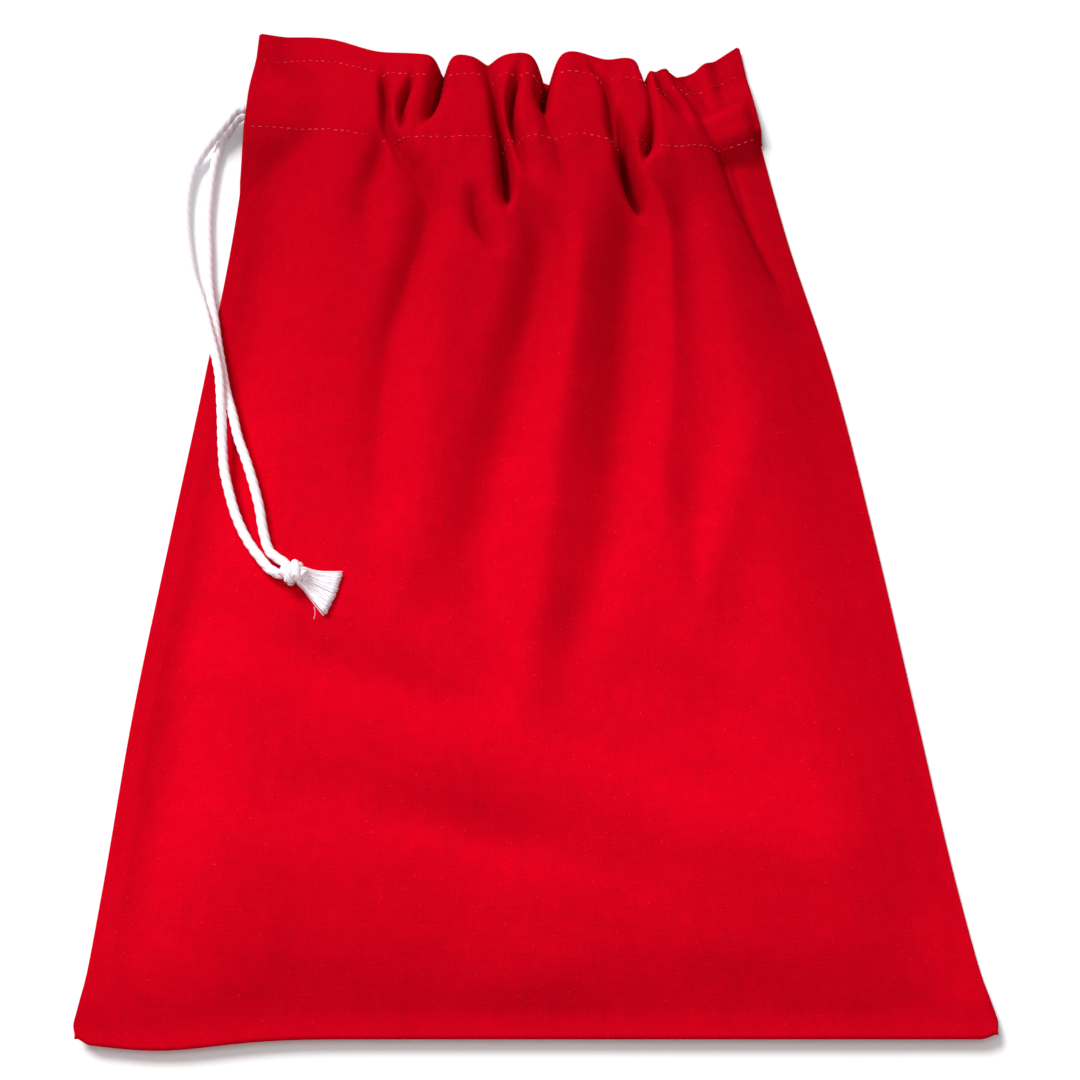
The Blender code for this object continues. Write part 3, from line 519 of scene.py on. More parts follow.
    def cord_height(self, across, up):
        """The centre of the front channel's cord: up over the way left open at the mouth, and
        down a little to the slit."""
        neck = self.neck(up)
        off = np.abs(across - self.room_at) * neck - self.room_flat
        room = self.cloth.mouth_room * (0.5 + 0.5 * np.cos(np.pi * ramp(off, 0, self.room_ramp)))
        out = ramp(across * neck, self.cloth.slit_depth, 0)
        return self.front_cord + room - (self.front_cord - self.slit_cord) * out

    def near_cord(self, up, fade):
        """1 along the cord's line and 0 away from it."""
        return bell(np.clip(np.abs(up - self.cord_row) - self.cord_clear, 0, None), fade)

    def over_cord(self, across, up):
        """How high the front's cloth has to be to clear the cord in its channel."""
        neck = self.neck(up)
        clear = self.cord_height(across, up) + self.cord_r + self.cloth.gap
        by_turn = ramp((1 - across) * neck, 0, 0.5 * self.cord.turn_in)
        by_slit = np.exp(-across * neck / self.slit_reach)
        return clear * self.near_cord(up, self.cord_fade + self.slit_fade * by_slit) * by_turn

    def back_height(self, across, up):
        """How far the back stands off the surface: narrow pleats at the neck, pressed flat
        under the cord, and a slight curl of the bottom seam."""
        phase = ramp(across, *self.gathered) * self.cloth.back_pleats
        grown = ramp(up / self.cloth.length, self.pleats_from, self.pleats_full)
        fade = grown ** self.pleats_edge * (1 - self.near_cord(up, self.pleats_fade))
        curl = self.cloth.edge_curl * bell(up, self.curl_reach)
        return self.cloth.back_pleat * (0.5 - 0.5 * np.cos(2 * np.pi * phase)) * fade + curl

    def lining_share(self, up):
        """0 at the rows of stitching and 1 beside the cord."""
        rows = (self.lower, self.lower + self.cloth.stitch_band, self.cord_row - self.cord_clear,
                self.cord_row + self.cord_clear, (self.cord_row + self.cord_clear + self.upper) / 2,
                self.upper - self.cloth.stitch_band, self.upper)
        return np.interp(up, rows, (0, 0, 1, 1, self.lining_sag, 0, 0))

    def back_top(self, across, up):
        """The highest face of the back panel, lining included."""
        inner = self.back_height(across, up) + self.cloth.layer * (1 + (up >= self.upper))
        share = self.lining_share(up)
        lining = (1 - share) * inner + share * self.back_lining + self.cloth.layer
        return np.where((up > self.lower) & (up < self.upper), lining, inner)

    def front_height(self, across, up):
        """The front's outer face: seam height, puff and the gathers' lift, plus ridges, broad
        forms and fine unevenness, less creases, and never lower than the cord and the back panel
        under it need."""
        cloth = self.cloth
        left, right = self.sides(up)
        x = left + across * (right - left)
        side = self.climb(np.minimum(x - left, right - x), cloth.side_rise)
        share = up / cloth.length
        puff = cloth.puff * flow(share, PUFF_ALONG) * side * self.swell(up)
        lift = flow(share, LIFT_ALONG) * flow(across, LIFT_ACROSS) * MM
        flap = ramp((across - flow(share, FLAP)) * (right - left), 0, self.flap_edge)
        flap = flap * ramp(share, self.flap_from, 1)
        lift = lift * (1 - self.flap_lift * flap)
        puff = puff * (1 - self.flap_puff * flap)
        fine = self.ripple(across, up) + self.puckers(across, up)
        soft = (self.folds(RIDGES, across, up) + self.broad(across, up) + fine) * side
        shape = higher(puff + lift + soft - self.folds(CREASES, across, up), 0, self.soft * side)
        over_cord = self.over_cord(across, up) + cloth.layer
        top = higher(self.seam_top + shape, over_cord, self.cord_soft * side)
        layers = 1 + (up >= self.upper)
        clear = self.back_top(across, up) + cloth.gap + cloth.layer * layers
        clear = clear + cloth.layer * ((up > self.lower) & (up < self.upper))
        return higher(top, clear, self.soft * side)

    def sunk(self, across, up):
        """How far the creases draw the gathered mouth's edge in along Y."""
        grown = ramp(up, self.lower, self.cloth.length)
        return self.draw_in * grown ** 2 * self.folds(CREASES, across, up)

    def place(self, x, y, z):
        """Points in the frame's axes."""
        return np.stack([x - self.middle[0], y - self.middle[1], z + 0 * x], -1)

    def ground(self, x, y):
        """The front's height under places on the body, below the gathers."""
        up = y + self.middle[1]
        left, right = self.sides(up)
        return self.front_height((x + self.middle[0] - left) / (right - left), up)


def face_normals(points):
    """Unit normals of a grid of points. Its first axis runs along the cloth, its second across."""
    return unit(np.cross(np.gradient(points, axis=1), np.gradient(points, axis=0)))


def add_mesh(name, points, faces, look, chart=None, values=None):
    """A smooth-shaded object of one mesh. chart gives each vertex its UV, and values are named
    numbers for each vertex."""
    mesh = bpy.data.meshes.new(name)
    mesh.vertices.add(len(points))
    mesh.vertices.foreach_set("co", np.ascontiguousarray(points, np.float32).ravel())
    sizes = np.array([len(group[0]) for group in faces for _ in range(len(group))])
    corners = np.concatenate([group.ravel() for group in faces])
    mesh.loops.add(len(corners))
    mesh.loops.foreach_set("vertex_index", corners.astype(np.int32))
    mesh.polygons.add(len(sizes))
    starts = np.concatenate([[0], np.cumsum(sizes)[:-1]])
    mesh.polygons.foreach_set("loop_start", starts.astype(np.int32))
    mesh.update(calc_edges=True)
    mesh.validate()
    mesh.polygons.foreach_set("use_smooth", np.ones(len(mesh.polygons), bool))
    if chart is not None:
        layer = mesh.uv_layers.new(name="cloth")
        used = np.zeros(len(mesh.loops), np.int32)
        mesh.loops.foreach_get("vertex_index", used)
        layer.uv.foreach_set("vector", chart[used].astype(np.float32).ravel())
    for key, numbers in (values or {}).items():
        attribute = mesh.attributes.new(key, "FLOAT", "POINT")
        attribute.data.foreach_set("value", numbers.astype(np.float32).ravel())
    mesh.materials.append(look)
    made = bpy.data.objects.new(name, mesh)
    bpy.context.scene.collection.objects.link(made)
    return made


def dress(piece, slot, *nodes):
    """The piece rides on the body and stands for its solids. Its slot, the finish's name, is not
    used.
    """
    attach(piece, ROOT)
    if nodes:
        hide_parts(*nodes)
    return piece


def smoothed(grid, times):
    """A grid of numbers averaged with its neighbours that many times."""
    for _ in range(times):
        for axis in (0, 1):
            near = np.pad(grid, [(1, 1) if k == axis else (0, 0) for k in (0, 1)], "edge")
            low, high = (np.take(near, range(a, a + grid.shape[axis]), axis) for a in (0, 2))
            grid = 0.5 * grid + 0.25 * (low + high)
    return grid


class PaintedShade:
    """Painted shade: how much of its colour the cloth loses, and where."""

    hollow_shade, hollow_full, passes = 0.52, 3 * MM, 14
    neck, neck_from, neck_full = 0.22, 0.40, 0.82
    seam, seam_reach = 0.06, 9 * MM
    curl, curl_at, curl_reach = 0.27, 6.2 * MM, 6 * MM


def painted_cloth_shade(lie, across, up, height):
    """How much of its colour the cloth shows, from 0 to 1, as painted shade: less in the hollows of
    the gathers, where (smoothed - height) is large, a little less towards the mouth and beside the
    seams, and less over the bottom seam's curl."""
    hollow_shade = ramp(smoothed(height, PaintedShade.passes) - height, 0, PaintedShade.hollow_full)
    edge = np.minimum(across, 1 - across) * lie.neck(up)
    seam = bell(np.minimum(edge, up), PaintedShade.seam_reach)
    neck = eased(ramp(up / lie.cloth.length, PaintedShade.neck_from, PaintedShade.neck_full))
    curl = bell(up - PaintedShade.curl_at, PaintedShade.curl_reach)
    return ((1 - PaintedShade.hollow_shade * hollow_shade) * (1 - PaintedShade.neck * neck) * (1 - PaintedShade.seam * seam)
            * (1 - PaintedShade.curl * curl))


def shell(name, outer, inner, cells, chart, tone, look, up):
    """A closed sheet of cloth: two grids of points, joined by walls wherever the cells that are
    cloth end. up says that the outer face looks up."""
    rows, columns = outer.shape[:2]
    ids = np.arange(rows * columns).reshape(rows, columns)
    count = rows * columns
    ring = [ids[:-1, :-1], ids[:-1, 1:], ids[1:, 1:], ids[1:, :-1]]
    around = np.pad(cells, 1)
    beside = [around[:-2, 1:-1], around[1:-1, 2:], around[2:, 1:-1], around[1:-1, :-2]]
    top = np.stack(ring, -1)[cells]
    faces = [top, top[:, ::-1] + count]
    for k in range(4):
        open_edge = cells & ~beside[k]
        one, two = ring[k][open_edge], ring[(k + 1) % 4][open_edge]
        faces.append(np.stack([two, one, one + count, two + count], -1))
    faces = np.concatenate(faces)
    if not up:
        faces = faces[:, ::-1]
    points = np.concatenate([outer.reshape(-1, 3), inner.reshape(-1, 3)])
    used, faces = np.unique(faces, return_inverse=True)
    chart = np.concatenate([chart.reshape(-1, 2)] * 2)[used]
    # The painted shade of each vertex, the same on both faces.
    tone = np.concatenate([tone.ravel()] * 2)[used]
    return add_mesh(name, points[used], [faces.reshape(-1, 4)], look, chart, {"tone": tone})


def spread(stops, count):
    """count numbers from the first stop to the last. Each stop is a place and how closely the
    numbers lie after it."""
    place = [stop[0] for stop in stops]
    crowd = np.concatenate([[0], np.cumsum([(b[0] - a[0]) * a[1] for a, b in zip(stops, stops[1:])])])
    return np.interp(np.linspace(0, crowd[-1], count), crowd, place)


def cloth_grid(lie):
    """The rows and columns of a panel. Rows: the turned bottom edge, the cloth, the turned mouth
    edge and the hem inside. Columns: the turned side edges and the cloth between them."""
    cloth = lie.cloth
    quarter, turn = np.radians(EDGE_TURNS), np.radians(MOUTH_TURNS)
    body = spread(ROW_STOPS, ROWS) * cloth.length
    hem = np.linspace(cloth.length, lie.lower, HEM_ROWS)
    rows = {
        "up": np.concatenate([0 * quarter, body, 0 * turn + cloth.length, hem]),
        "curl": np.concatenate([quarter, 0 * body, 0 * turn, 0 * hem]),
        "turn": np.concatenate([0 * quarter, 0 * body, turn, 0 * hem + math.pi]),
    }
    span = spread(COLUMN_STOPS, COLUMNS)
    columns = {
        "across": np.concatenate([0 * quarter, span, 0 * quarter + 1]),
        "curl": np.concatenate([quarter, 0 * span, quarter[::-1]]),
    }
    return rows, columns


def panel(lie, name, look, front):
    """One panel of the pouch as a closed sheet. The outer face is the height of the cloth over
    its place; it turns down a quarter circle at the seams and a half circle at the mouth, and
    runs on inside as the hem, which lines the channel. The inner face lies one thickness in."""
    cloth = lie.cloth
    rows, columns = cloth_grid(lie)
    across, up = np.meshgrid(columns["across"], rows["up"])
    curl_x, curl_y = np.meshgrid(columns["curl"], rows["curl"])
    turn = np.broadcast_to(rows["turn"][:, None], across.shape)
    x, y = lie.lay(across, up)
    side = np.sign(across - 0.5)
    height = lie.front_height(across, up) if front else lie.back_height(across, up)
    if front:
        y = y - lie.sunk(across, up)
        edge = height
    else:
        edge = np.where(up < lie.upper, lie.seam_top, lie.seam_top + 2 * cloth.layer)
    curl = np.clip(edge / 2 - lie.turned_room, lie.turned_low, lie.turned_high)
    inset = cloth.seam_round
    x = x - side * inset * np.abs(2 * across - 1) + side * curl * np.sin(curl_x)
    y = y + inset * ramp(up, lie.bottom_inset, 0) - curl * np.sin(curl_y)
    fold = cloth.thick + lie.mouth_fold_room
    y = y + fold * np.sin(turn) * (turn < math.pi)
    drop = curl * (1 - np.cos(curl_x) * np.cos(curl_y)) + fold * (1 - np.cos(turn))
    in_hem = turn >= math.pi
    share = lie.lining_share(up) * in_hem
    if front:
        flat = face_normals(lie.place(x, y, height))[..., 2]
        slope = 1 / np.maximum(np.abs(flat), 1 / lie.steepest)
        room = height - cloth.layer - (lie.cord_height(across, up) - lie.cord_r - cloth.gap)
        drop = drop * np.where(in_hem, slope, 1) + share * np.maximum(room, 0)
        z = height - drop
    else:
        inner = height + cloth.layer
        z = height + drop + share * (lie.back_lining - inner)
    outer = lie.place(x, y, z)
    normal = face_normals(outer) * (1 if front else -1)
    inner = outer - cloth.thick * normal
    cells = np.ones((len(rows["up"]) - 1, len(columns["across"]) - 1), bool)
    plain = (columns["curl"][:-1] + columns["curl"][1:]) == 0
    past_mouth = rows["turn"][1:] > 0
    cells[past_mouth] = cells[past_mouth] & plain
    neck = lie.neck(lie.cord_row)
    from_left = columns["across"][:-1] * neck
    from_right = (1 - columns["across"][1:]) * neck
    lined = (from_left > cloth.slit_depth) & (from_right > lie.cord.turn_in) & plain
    lining = (rows["turn"][:-1] >= math.pi) & (rows["up"][:-1] <= lie.upper)
    cells[lining] = cells[lining] & lined
    chart = np.stack([across * cloth.width, np.where(in_hem, 2 * cloth.length - up, up)], -1)
    # Painted shade: the cloth's colour is darker in the hollows of the gathers, towards the mouth,
    # beside the seams and over the bottom seam's curl.
    tone = painted_cloth_shade(lie, across, up, height)
    return shell(name, outer, inner, cells, chart, tone, look, front)


def smooth_line(route, step):
    """Evenly spaced points on a smooth curve through a route's points."""
    route = np.array(route, float)
    along = lengths(route)
    fine = np.linspace(0, along[-1], 60 * len(route))
    line = np.stack([flow(fine, list(zip(along, route[:, k]))) for k in range(3)], -1)
    length = lengths(line)
    even = np.linspace(0, length[-1], max(2, round(length[-1] / step) + 1))
    return np.stack([np.interp(even, length, line[:, k]) for k in range(3)], -1)


def frames(line, closed=False):
    """Unit vectors ahead, to the side and up along a line, the side one kept level."""
    ahead = np.roll(line, -1, 0) - np.roll(line, 1, 0) if closed else np.gradient(line, axis=0)
    ahead = unit(ahead)
    side = np.cross(ahead, (0, 0, 1))
    weak = np.linalg.norm(side, axis=1) < 0.2
    side[weak] = np.cross(ahead[weak], (0, 1, 0))
    side = unit(side)
    return ahead, side, np.cross(side, ahead)


def ring_points(line, size, angle, side, up):
    """Circles round the points of a line, or of several lines, whose radius may vary round them."""
    around = np.cos(angle)[:, None] * side[..., None, :] + np.sin(angle)[:, None] * up[..., None, :]
    return line[..., None, :] + size * around


def plied_tube(line, radius, cord, sides=20, closed=False, phase=0.0):
    """Points and faces of a plied cord along a line, with its groove depth and chart. The
    section is radius * (1 - groove * (1 - |cos(plies / 2 * angle)|^0.8)), turned once a lay."""
    _, side, up = frames(line, closed)
    along = lengths(line)
    angle = np.arange(sides) * 2 * math.pi / sides
    turned = angle[None] - 2 * math.pi * along[:, None] / cord.lay + phase
    lobe = np.abs(np.cos(cord.plies / 2 * turned)) ** 0.8
    size = radius * (1 - cord.groove * (1 - lobe))
    points = ring_points(line, size[..., None], angle, side, up)
    rings = len(line)
    ids = np.arange(rings * sides).reshape(rings, sides)
    after = np.roll(ids, -1, 1)
    if closed:
        low, high = slice(None), np.roll(np.arange(rings), -1)
        quads = np.stack([ids[low], after[low], after[high], ids[high]], -1).reshape(-1, 4)
        faces = [quads]
    else:
        quads = np.stack([ids[:-1], after[:-1], after[1:], ids[1:]], -1).reshape(-1, 4)
        faces = [quads, ids[:1, ::-1], ids[-1:]]
    chart = np.stack([np.broadcast_to(turned / (2 * math.pi), lobe.shape),
                      np.broadcast_to(along[:, None], lobe.shape)], -1)
    return points.reshape(-1, 3), faces, 1 - lobe.ravel(), chart.reshape(-1, 2)


def joined(parts):
    """Several lots of points, faces, grooves and charts as one."""
    points, faces, grooves, charts, base = [], [], [], [], 0
    for some, groups, groove, chart in parts:
        points.append(some)
        faces += [group + base for group in groups]
        grooves.append(groove)
        charts.append(chart)
        base += len(some)
    return np.concatenate(points), faces, np.concatenate(grooves), np.concatenate(charts)


def cord_piece(name, made, look):
    """An object of plied cord."""
    points, faces, groove, chart = made
    return add_mesh(name, points, faces, look, chart, {"groove": groove})


def channel_route(lie):
    """The held length of the cord: in at the slit over the front's lining, round inside the
    right side seam, and back through the back's channel."""
    left, right = lie.sides(lie.cord_row)
    neck = right - left
    turn = 1 - lie.cord.turn_in / neck
    ahead = np.linspace(-lie.cloth.gap / neck, turn, 90)
    over = np.stack([ahead, lie.cord_height(ahead, lie.cord_row)], -1)
    radius = (lie.front_cord - lie.back_cord) / 2
    angle = np.linspace(math.pi / 2, -math.pi / 2, 13)[1:-1]
    bend = np.stack([turn + radius * np.cos(angle) / neck,
                     (lie.front_cord + lie.back_cord) / 2 + radius * np.sin(angle)], -1)
    home = np.stack([ahead[::-1], np.full(len(ahead), lie.back_cord)], -1)
    route = np.concatenate([over, bend, home])
    x, y = lie.lay(np.clip(route[:, 0], 0, 1), np.full(len(route), lie.cord_row))
    x = np.where(route[:, 0] < 0, left + route[:, 0] * neck, x)
    return lie.place(x, y, route[:, 1])


def knot_axes():
    """The knot's own axes: ahead to the frayed end, to its left, and up."""
    ahead = np.array([math.cos(KNOT_TURN), math.sin(KNOT_TURN), 0])
    return ahead, np.array([-ahead[1], ahead[0], 0]), np.array([0.0, 0.0, 1.0])


def wrap_line(centre, slant, radius, tall, shift):
    """A closed loop round the knot's axis: a circle of that radius, flattened to tall, whose
    plane is turned by slant from square to the axis, and moved along it by shift."""
    ahead, side, up = knot_axes()
    angle = np.linspace(0, 2 * math.pi, 49)[:-1]
    over = math.cos(slant) * side + math.sin(slant) * ahead
    across = math.cos(slant) * ahead - math.sin(slant) * side
    return (centre + shift * across + radius * np.cos(angle)[:, None] * over
            + tall * np.sin(angle)[:, None] * up)


def knot_parts(cord):
    """The overhand knot of two strands: a doubled wrap over a doubled loop over the core."""
    ahead, side, _ = knot_axes()
    core = np.stack([KNOT_AT + s * ahead * MM + CORE_WAVE * math.sin(s) * side * MM
                     for s in np.linspace(*CORE_ENDS, 15)])
    parts = [plied_tube(core, CORE_SHARE * cord.diameter, cord, 24)]
    for slant, radius, tall, shift, place, share, phase in WRAPS:
        line = wrap_line(KNOT_AT + place * MM * ahead, math.radians(slant), radius * MM, tall * MM,
                         shift * MM)
        parts.append(plied_tube(line, share * cord.diameter, cord, 18, True, phase))
    return joined(parts)


def fibre_tubes(lines, radius, sides=FIBRE_SIDES):
    """Many thin tubes at once. lines is an array of fibres, points and places."""
    ahead = unit(np.gradient(lines, axis=1))
    side = unit(np.cross(ahead, (0, 0, 1.0)))
    up = np.cross(side, ahead)
    angle = np.arange(sides) * 2 * math.pi / sides
    points = ring_points(lines, radius[:, None, None, None], angle, side, up)
    count, rings = lines.shape[:2]
    ids = np.arange(count * rings * sides).reshape(count, rings, sides)
    after = np.roll(ids, -1, 2)
    quads = np.stack([ids[:, :-1], after[:, :-1], after[:, 1:], ids[:, 1:]], -1).reshape(-1, 4)
    return points.reshape(-1, 3), [quads, ids[:, 0, ::-1], ids[:, -1]]


class Fray:
    """The frayed end: lengths in mm and angles in degrees. Every so many fibres, one is a thick
    bundle, and one stray fibre lies on the cloth below."""

    every, thin, thick, bundle = 9, 0.13, 0.21, 0.42
    lean, fan, fan_jitter = 5, 23, 2.0
    root, root_side, root_up = 2.4, 2.4, 2.2
    longest, shorter, uneven = 1.02, 0.06, 0.018
    wave, spread, spread_edge = 0.16, 0.92, 1.15
    bed, pile, pile_loss = 0.25, 2.3, 0.45
    droop_end, droop_edge = 0.45, 1.6
    tint, tint_drop, tint_jitter, stray_tint = 0.42, 0.25, 0.10, 0.9
    stray_from, stray_bend, stray_length = (-64.7, -47.0), 0.4, 3.8
    stray_up, stray_radius = 0.12, 0.07


def tassel_lines(lie, count, length, chance):
    """The frayed end's fibres: from the knot they spread over a fan of angles and droop to the
    cloth, a little uneven in length, with a slight wave."""
    ahead, side, _ = knot_axes()
    along = np.linspace(0, 1, FIBRE_POINTS)
    layer = chance.uniform(0, 1, count)
    fan = chance.uniform(-1, 1, count)
    turn = np.radians(chance.normal(0, Fray.fan_jitter, count) - Fray.lean - Fray.fan * fan)
    reach = length * (Fray.longest - Fray.shorter * np.abs(fan - 0.1)
                      + chance.normal(0, Fray.uneven, count))
    wave = chance.normal(0, Fray.wave, (count, 2)) * MM
    run = reach[:, None] * along
    off = reach[:, None] * np.tan(turn)[:, None] * along ** Fray.spread_edge * Fray.spread
    off = off - Fray.root_side * MM * fan[:, None]
    off = off + wave[:, :1] * np.sin(along * 5 + fan[:, None] * 9) * along
    base = KNOT_AT + Fray.root * MM * ahead
    flat = base + run[..., None] * ahead + off[..., None] * side
    ground = lie.ground(flat[..., 0], flat[..., 1])
    layer[::Fray.every] = chance.uniform(0.25, 0.6, len(layer[::Fray.every]))
    rise = (Fray.bed + Fray.pile * layer[:, None] * (1 - Fray.pile_loss * along)) * MM
    start_height = KNOT_AT[2] + (layer - 0.5)[:, None] * Fray.root_up * MM
    droop = ramp(along, Fray.droop_end, 0) ** Fray.droop_edge
    flat[..., 2] = ground + rise + np.maximum(start_height - ground - rise, 0) * droop
    flat[..., 2] += wave[:, 1:] * np.sin(along * 6 + fan[:, None] * 5) * along * 0.6
    return flat, layer


def sum_of(operation, reflected=False):
    """A Signal's operator: it adds one Math node."""
    def method(self, other):
        return self.maths(operation, *((other, self) if reflected else (self, other)))
    return method


class Signal:
    """A socket that takes part in sums: an expression on it adds its Math nodes."""

    __add__, __radd__ = sum_of("ADD"), sum_of("ADD", True)
    __sub__, __rsub__ = sum_of("SUBTRACT"), sum_of("SUBTRACT", True)
    __mul__, __rmul__ = sum_of("MULTIPLY"), sum_of("MULTIPLY", True)

    def __init__(self, look, socket):
        self.look, self.socket = look, socket

    def maths(self, operation, *values):
        return self.look.node("ShaderNodeMath", {"operation": operation}, dict(enumerate(values)))

    def sine(self):
        return self.maths("SINE", self)

    def sibling(self, output):
        """Another output of the same node."""
        return Signal(self.look, self.socket.node.outputs[output])


class Look:
    """A material of nodes."""

    def __init__(self, name):
        self.material = bpy.data.materials.new(name)
        self.material.use_nodes = True
        self.tree = self.material.node_tree
        self.shader = self.tree.nodes["Principled BSDF"]

    def node(self, kind, settings=None, values=None, output=0):
        """Any node: its type, its settings or a ramp's stops, then its sockets' values."""
        made = self.tree.nodes.new(kind)
        for key, value in (settings or {}).items():
            if key == "stops":
                self.fill_ramp(made.color_ramp, value)
            else:
                setattr(made, key, value)
        for key, value in (values or {}).items():
            self.feed(made.inputs[key], value)
        return Signal(self, made.outputs[output])

    def fill_ramp(self, band, stops):
        while len(band.elements) < len(stops):
            band.elements.new(1)
        for element, (position, shade) in zip(band.elements, stops):
            element.position = position
            element.color = (shade, shade, shade, 1)

    def feed(self, socket, value):
        if isinstance(value, Signal):
            self.tree.links.new(value.socket, socket)
        else:
            socket.default_value = value

    def set(self, **values):
        """The shader's own sockets, named with underscores."""
        for key, value in values.items():
            self.feed(self.shader.inputs[key.replace("_", " ")], value)

    def blend(self, factor, one, two):
        """One colour to another. The Mix node's sockets 6 and 7 and its output 2 are colours."""
        return self.node("ShaderNodeMix", {"data_type": "RGBA"},
                         {0: factor, 6: one, 7: two}, 2)

    def ramp(self, value, *stops):
        return self.node("ShaderNodeValToRGB", {"stops": stops}, {0: value})

    def scaled(self, vector, x, y, z=1.0):
        """A vector stretched on each axis."""
        return self.node("ShaderNodeVectorMath", {"operation": "MULTIPLY"}, {0: vector, 1: (x, y, z)})

    def noise(self, vector, detail, *stretch, scale=1):
        """Noise over a vector that is stretched first."""
        return self.node("ShaderNodeTexNoise", {}, {"Vector": self.scaled(vector, *stretch),
                                                    "Scale": scale, "Detail": detail})

    def named(self, attribute):
        """A number that the mesh has at each vertex."""
        return self.node("ShaderNodeAttribute", {"attribute_name": attribute}, output=2)

    def bump(self, height, distance, strength, under=None):
        values = {"Height": height, "Distance": distance, "Strength": strength}
        if under is not None:
            values["Normal"] = under
        return self.node("ShaderNodeBump", {}, values)


def full(colour):
    """A colour with its alpha."""
    return (*colour, 1)


def cotton(name, red):
    """Plain-weave cotton: threads both ways on the cloth's own chart, uneven in thickness and shade,
    with slubs, raised and in a lighter red of painted sheen, and pale specks, and dull all over. Its
    colour is scaled by the painted shade that each vertex carries."""
    look = Look(name)
    chart = look.node("ShaderNodeUVMap", {"uv_map": "cloth"})
    mm = look.scaled(chart, 1000, 1000)
    across = look.node("ShaderNodeSeparateXYZ", {}, {0: mm})
    weave = (across * THREAD_TURN).sine() * (across.sibling(1) * THREAD_TURN).sine()
    warp = look.noise(mm, 3, 2.4, 0.07)
    weft = look.noise(mm, 3, 0.07, 2.4)
    grain = look.noise(mm, 4, 1.5, 1.5)
    cloud = look.noise(mm, 3, 0.05, 0.05)
    patch = look.noise(mm, 4, 0.24, 0.20)
    shade = 0.55 * grain + 0.45 * warp + 0.45 * weft + 0.45 * patch + 0.3 * cloud - 0.32
    dark, light = ([min(1, c * share) for c in red] for share in RED_RANGE)
    deep = look.blend(shade, full(dark), full(light))
    lively = look.ramp(patch, (0.48, 0), (0.72, 1))
    # Slubs: streaks along the weft and the warp, raised in the bump and painted in a lighter, pinker
    # red as painted sheen.
    slub_sheen_weft = look.ramp(look.noise(mm, 2, 0.85, 2.3), (0.63, 0), (0.74, 1))
    slub_sheen_warp = look.ramp(look.noise(mm, 2, 2.3, 0.85, scale=1.13), (0.65, 0), (0.76, 1))
    slubs_and_sheen = (slub_sheen_weft + slub_sheen_warp) * (0.10 + 0.42 * lively)
    with_slubs_and_sheen = look.blend(slubs_and_sheen, deep, full((min(1, red[0] * SHEEN_LIGHT), *SHEEN_PINK)))
    nep = look.ramp(look.noise(mm, 1, 0.9, 1.7, scale=1.3), (0.76, 0), (0.81, 1))
    specked = look.blend(nep * 0.36, with_slubs_and_sheen, full(NEP_COLOUR))
    # Painted shade: the colour is scaled by the painted shade that each vertex carries.
    colour_with_painted_shade = look.node("ShaderNodeVectorMath", {"operation": "SCALE"},
                      {0: specked, 3: look.named("tone")})
    look.set(Base_Color=colour_with_painted_shade, Roughness=0.95, Specular_IOR_Level=0.0)
    height = weave * 0.12 + warp * 0.6 + weft * 0.6 + slubs_and_sheen
    fine = look.bump(height, 0.00012, 0.55)
    look.set(Normal=look.bump(grain, 0.00035, 0.35, fine))
    return look.material


def plied_cotton(name, cord):
    """White cord: pale painted shade in the grooves between the plies, and fine fibres that run with
    the twist.
    """
    look = Look(name)
    chart = look.node("ShaderNodeUVMap", {"uv_map": "cloth"})
    fibres = look.noise(chart, 4, 14, 260)
    # Painted shade in the grooves: the deeper the groove, the more of the grooves' colour.
    depth = look.ramp(look.named("groove"), (0.35, 0), (1.0, 1))
    colour = look.blend(depth * 0.8, full(cord.white), full(cord.hollow_shade))
    look.set(Base_Color=look.blend(fibres * 0.22, colour, full(cord.hollow_shade)), Roughness=0.88,
             Specular_IOR_Level=0.12)
    look.set(Normal=look.bump(fibres, 0.00030, 0.6))
    return look.material


def frayed(name, cord):
    """The loose fibres, white to slightly pink from one to the next."""
    look = Look(name)
    colour = look.blend(look.named("tint"), full(cord.white), full(FIBRE_PINK))
    look.set(Base_Color=colour, Roughness=0.85, Specular_IOR_Level=0.12)
    return look.material


def sewing_thread(name, colour):
    """Thin pinkish thread, a little uneven along its length."""
    look = Look(name)
    place = look.node("ShaderNodeTexCoord", output=3)  # the object's own coordinates
    patch = look.ramp(look.noise(place, 2, 420, 420, 420), (0.42, 0), (0.66, 1))
    look.set(Base_Color=look.blend(patch, full(DIM_THREAD), full(colour)), Roughness=0.8,
             Specular_IOR_Level=0.1)
    return look.material


def plain_floor(name, colour):
    """Matt pale paper."""
    look = Look(name)
    look.set(Base_Color=full(colour), Roughness=0.9, Specular_IOR_Level=0.0)
    return look.material


def stitch_row(lie, stitches, up, front):
    """The stitches along one row: the thread lies on the cloth between its needle holes and dips
    into them. Each is a short tube along the cloth's own line at that height, pulled in more or
    less tightly."""
    share = np.linspace(ROW_FROM, 1 - ROW_FROM, ROW_POINTS)
    rows = np.full_like(share, up)
    x, y = lie.lay(share, rows)
    if front:
        y = y - lie.sunk(share, rows)
        z = lie.front_height(share, rows)
    else:
        z = lie.back_height(share, rows)
    line = lie.place(x, y, z)
    along = lengths(line)
    count = int(along[-1] / stitches.pitch)
    chance = np.random.default_rng(11)
    start = (np.arange(count) + 0.1) * stitches.pitch + chance.normal(0, STITCH_JITTER, count)
    step = np.linspace(0, 1, STITCH_POINTS)
    at = start[:, None] + step[None] * stitches.pitch * stitches.share
    lines = np.stack([np.interp(at, along, line[:, k]) for k in range(3)], -1)
    pull = chance.uniform(0.15, 1.0, (count, 1))
    arch = stitches.thread * (ARCH * pull * np.sin(math.pi * step) ** ARCH_EDGE - ARCH_SUNK)
    lines[..., 2] += arch if front else -arch
    return lines


def put(name, data, place, turn=(0, 0, 0)):
    """Adds an object of a camera or a light to the scene."""
    made = bpy.data.objects.new(name, data)
    made.location, made.rotation_euler = place, turn
    bpy.context.scene.collection.objects.link(made)
    return made


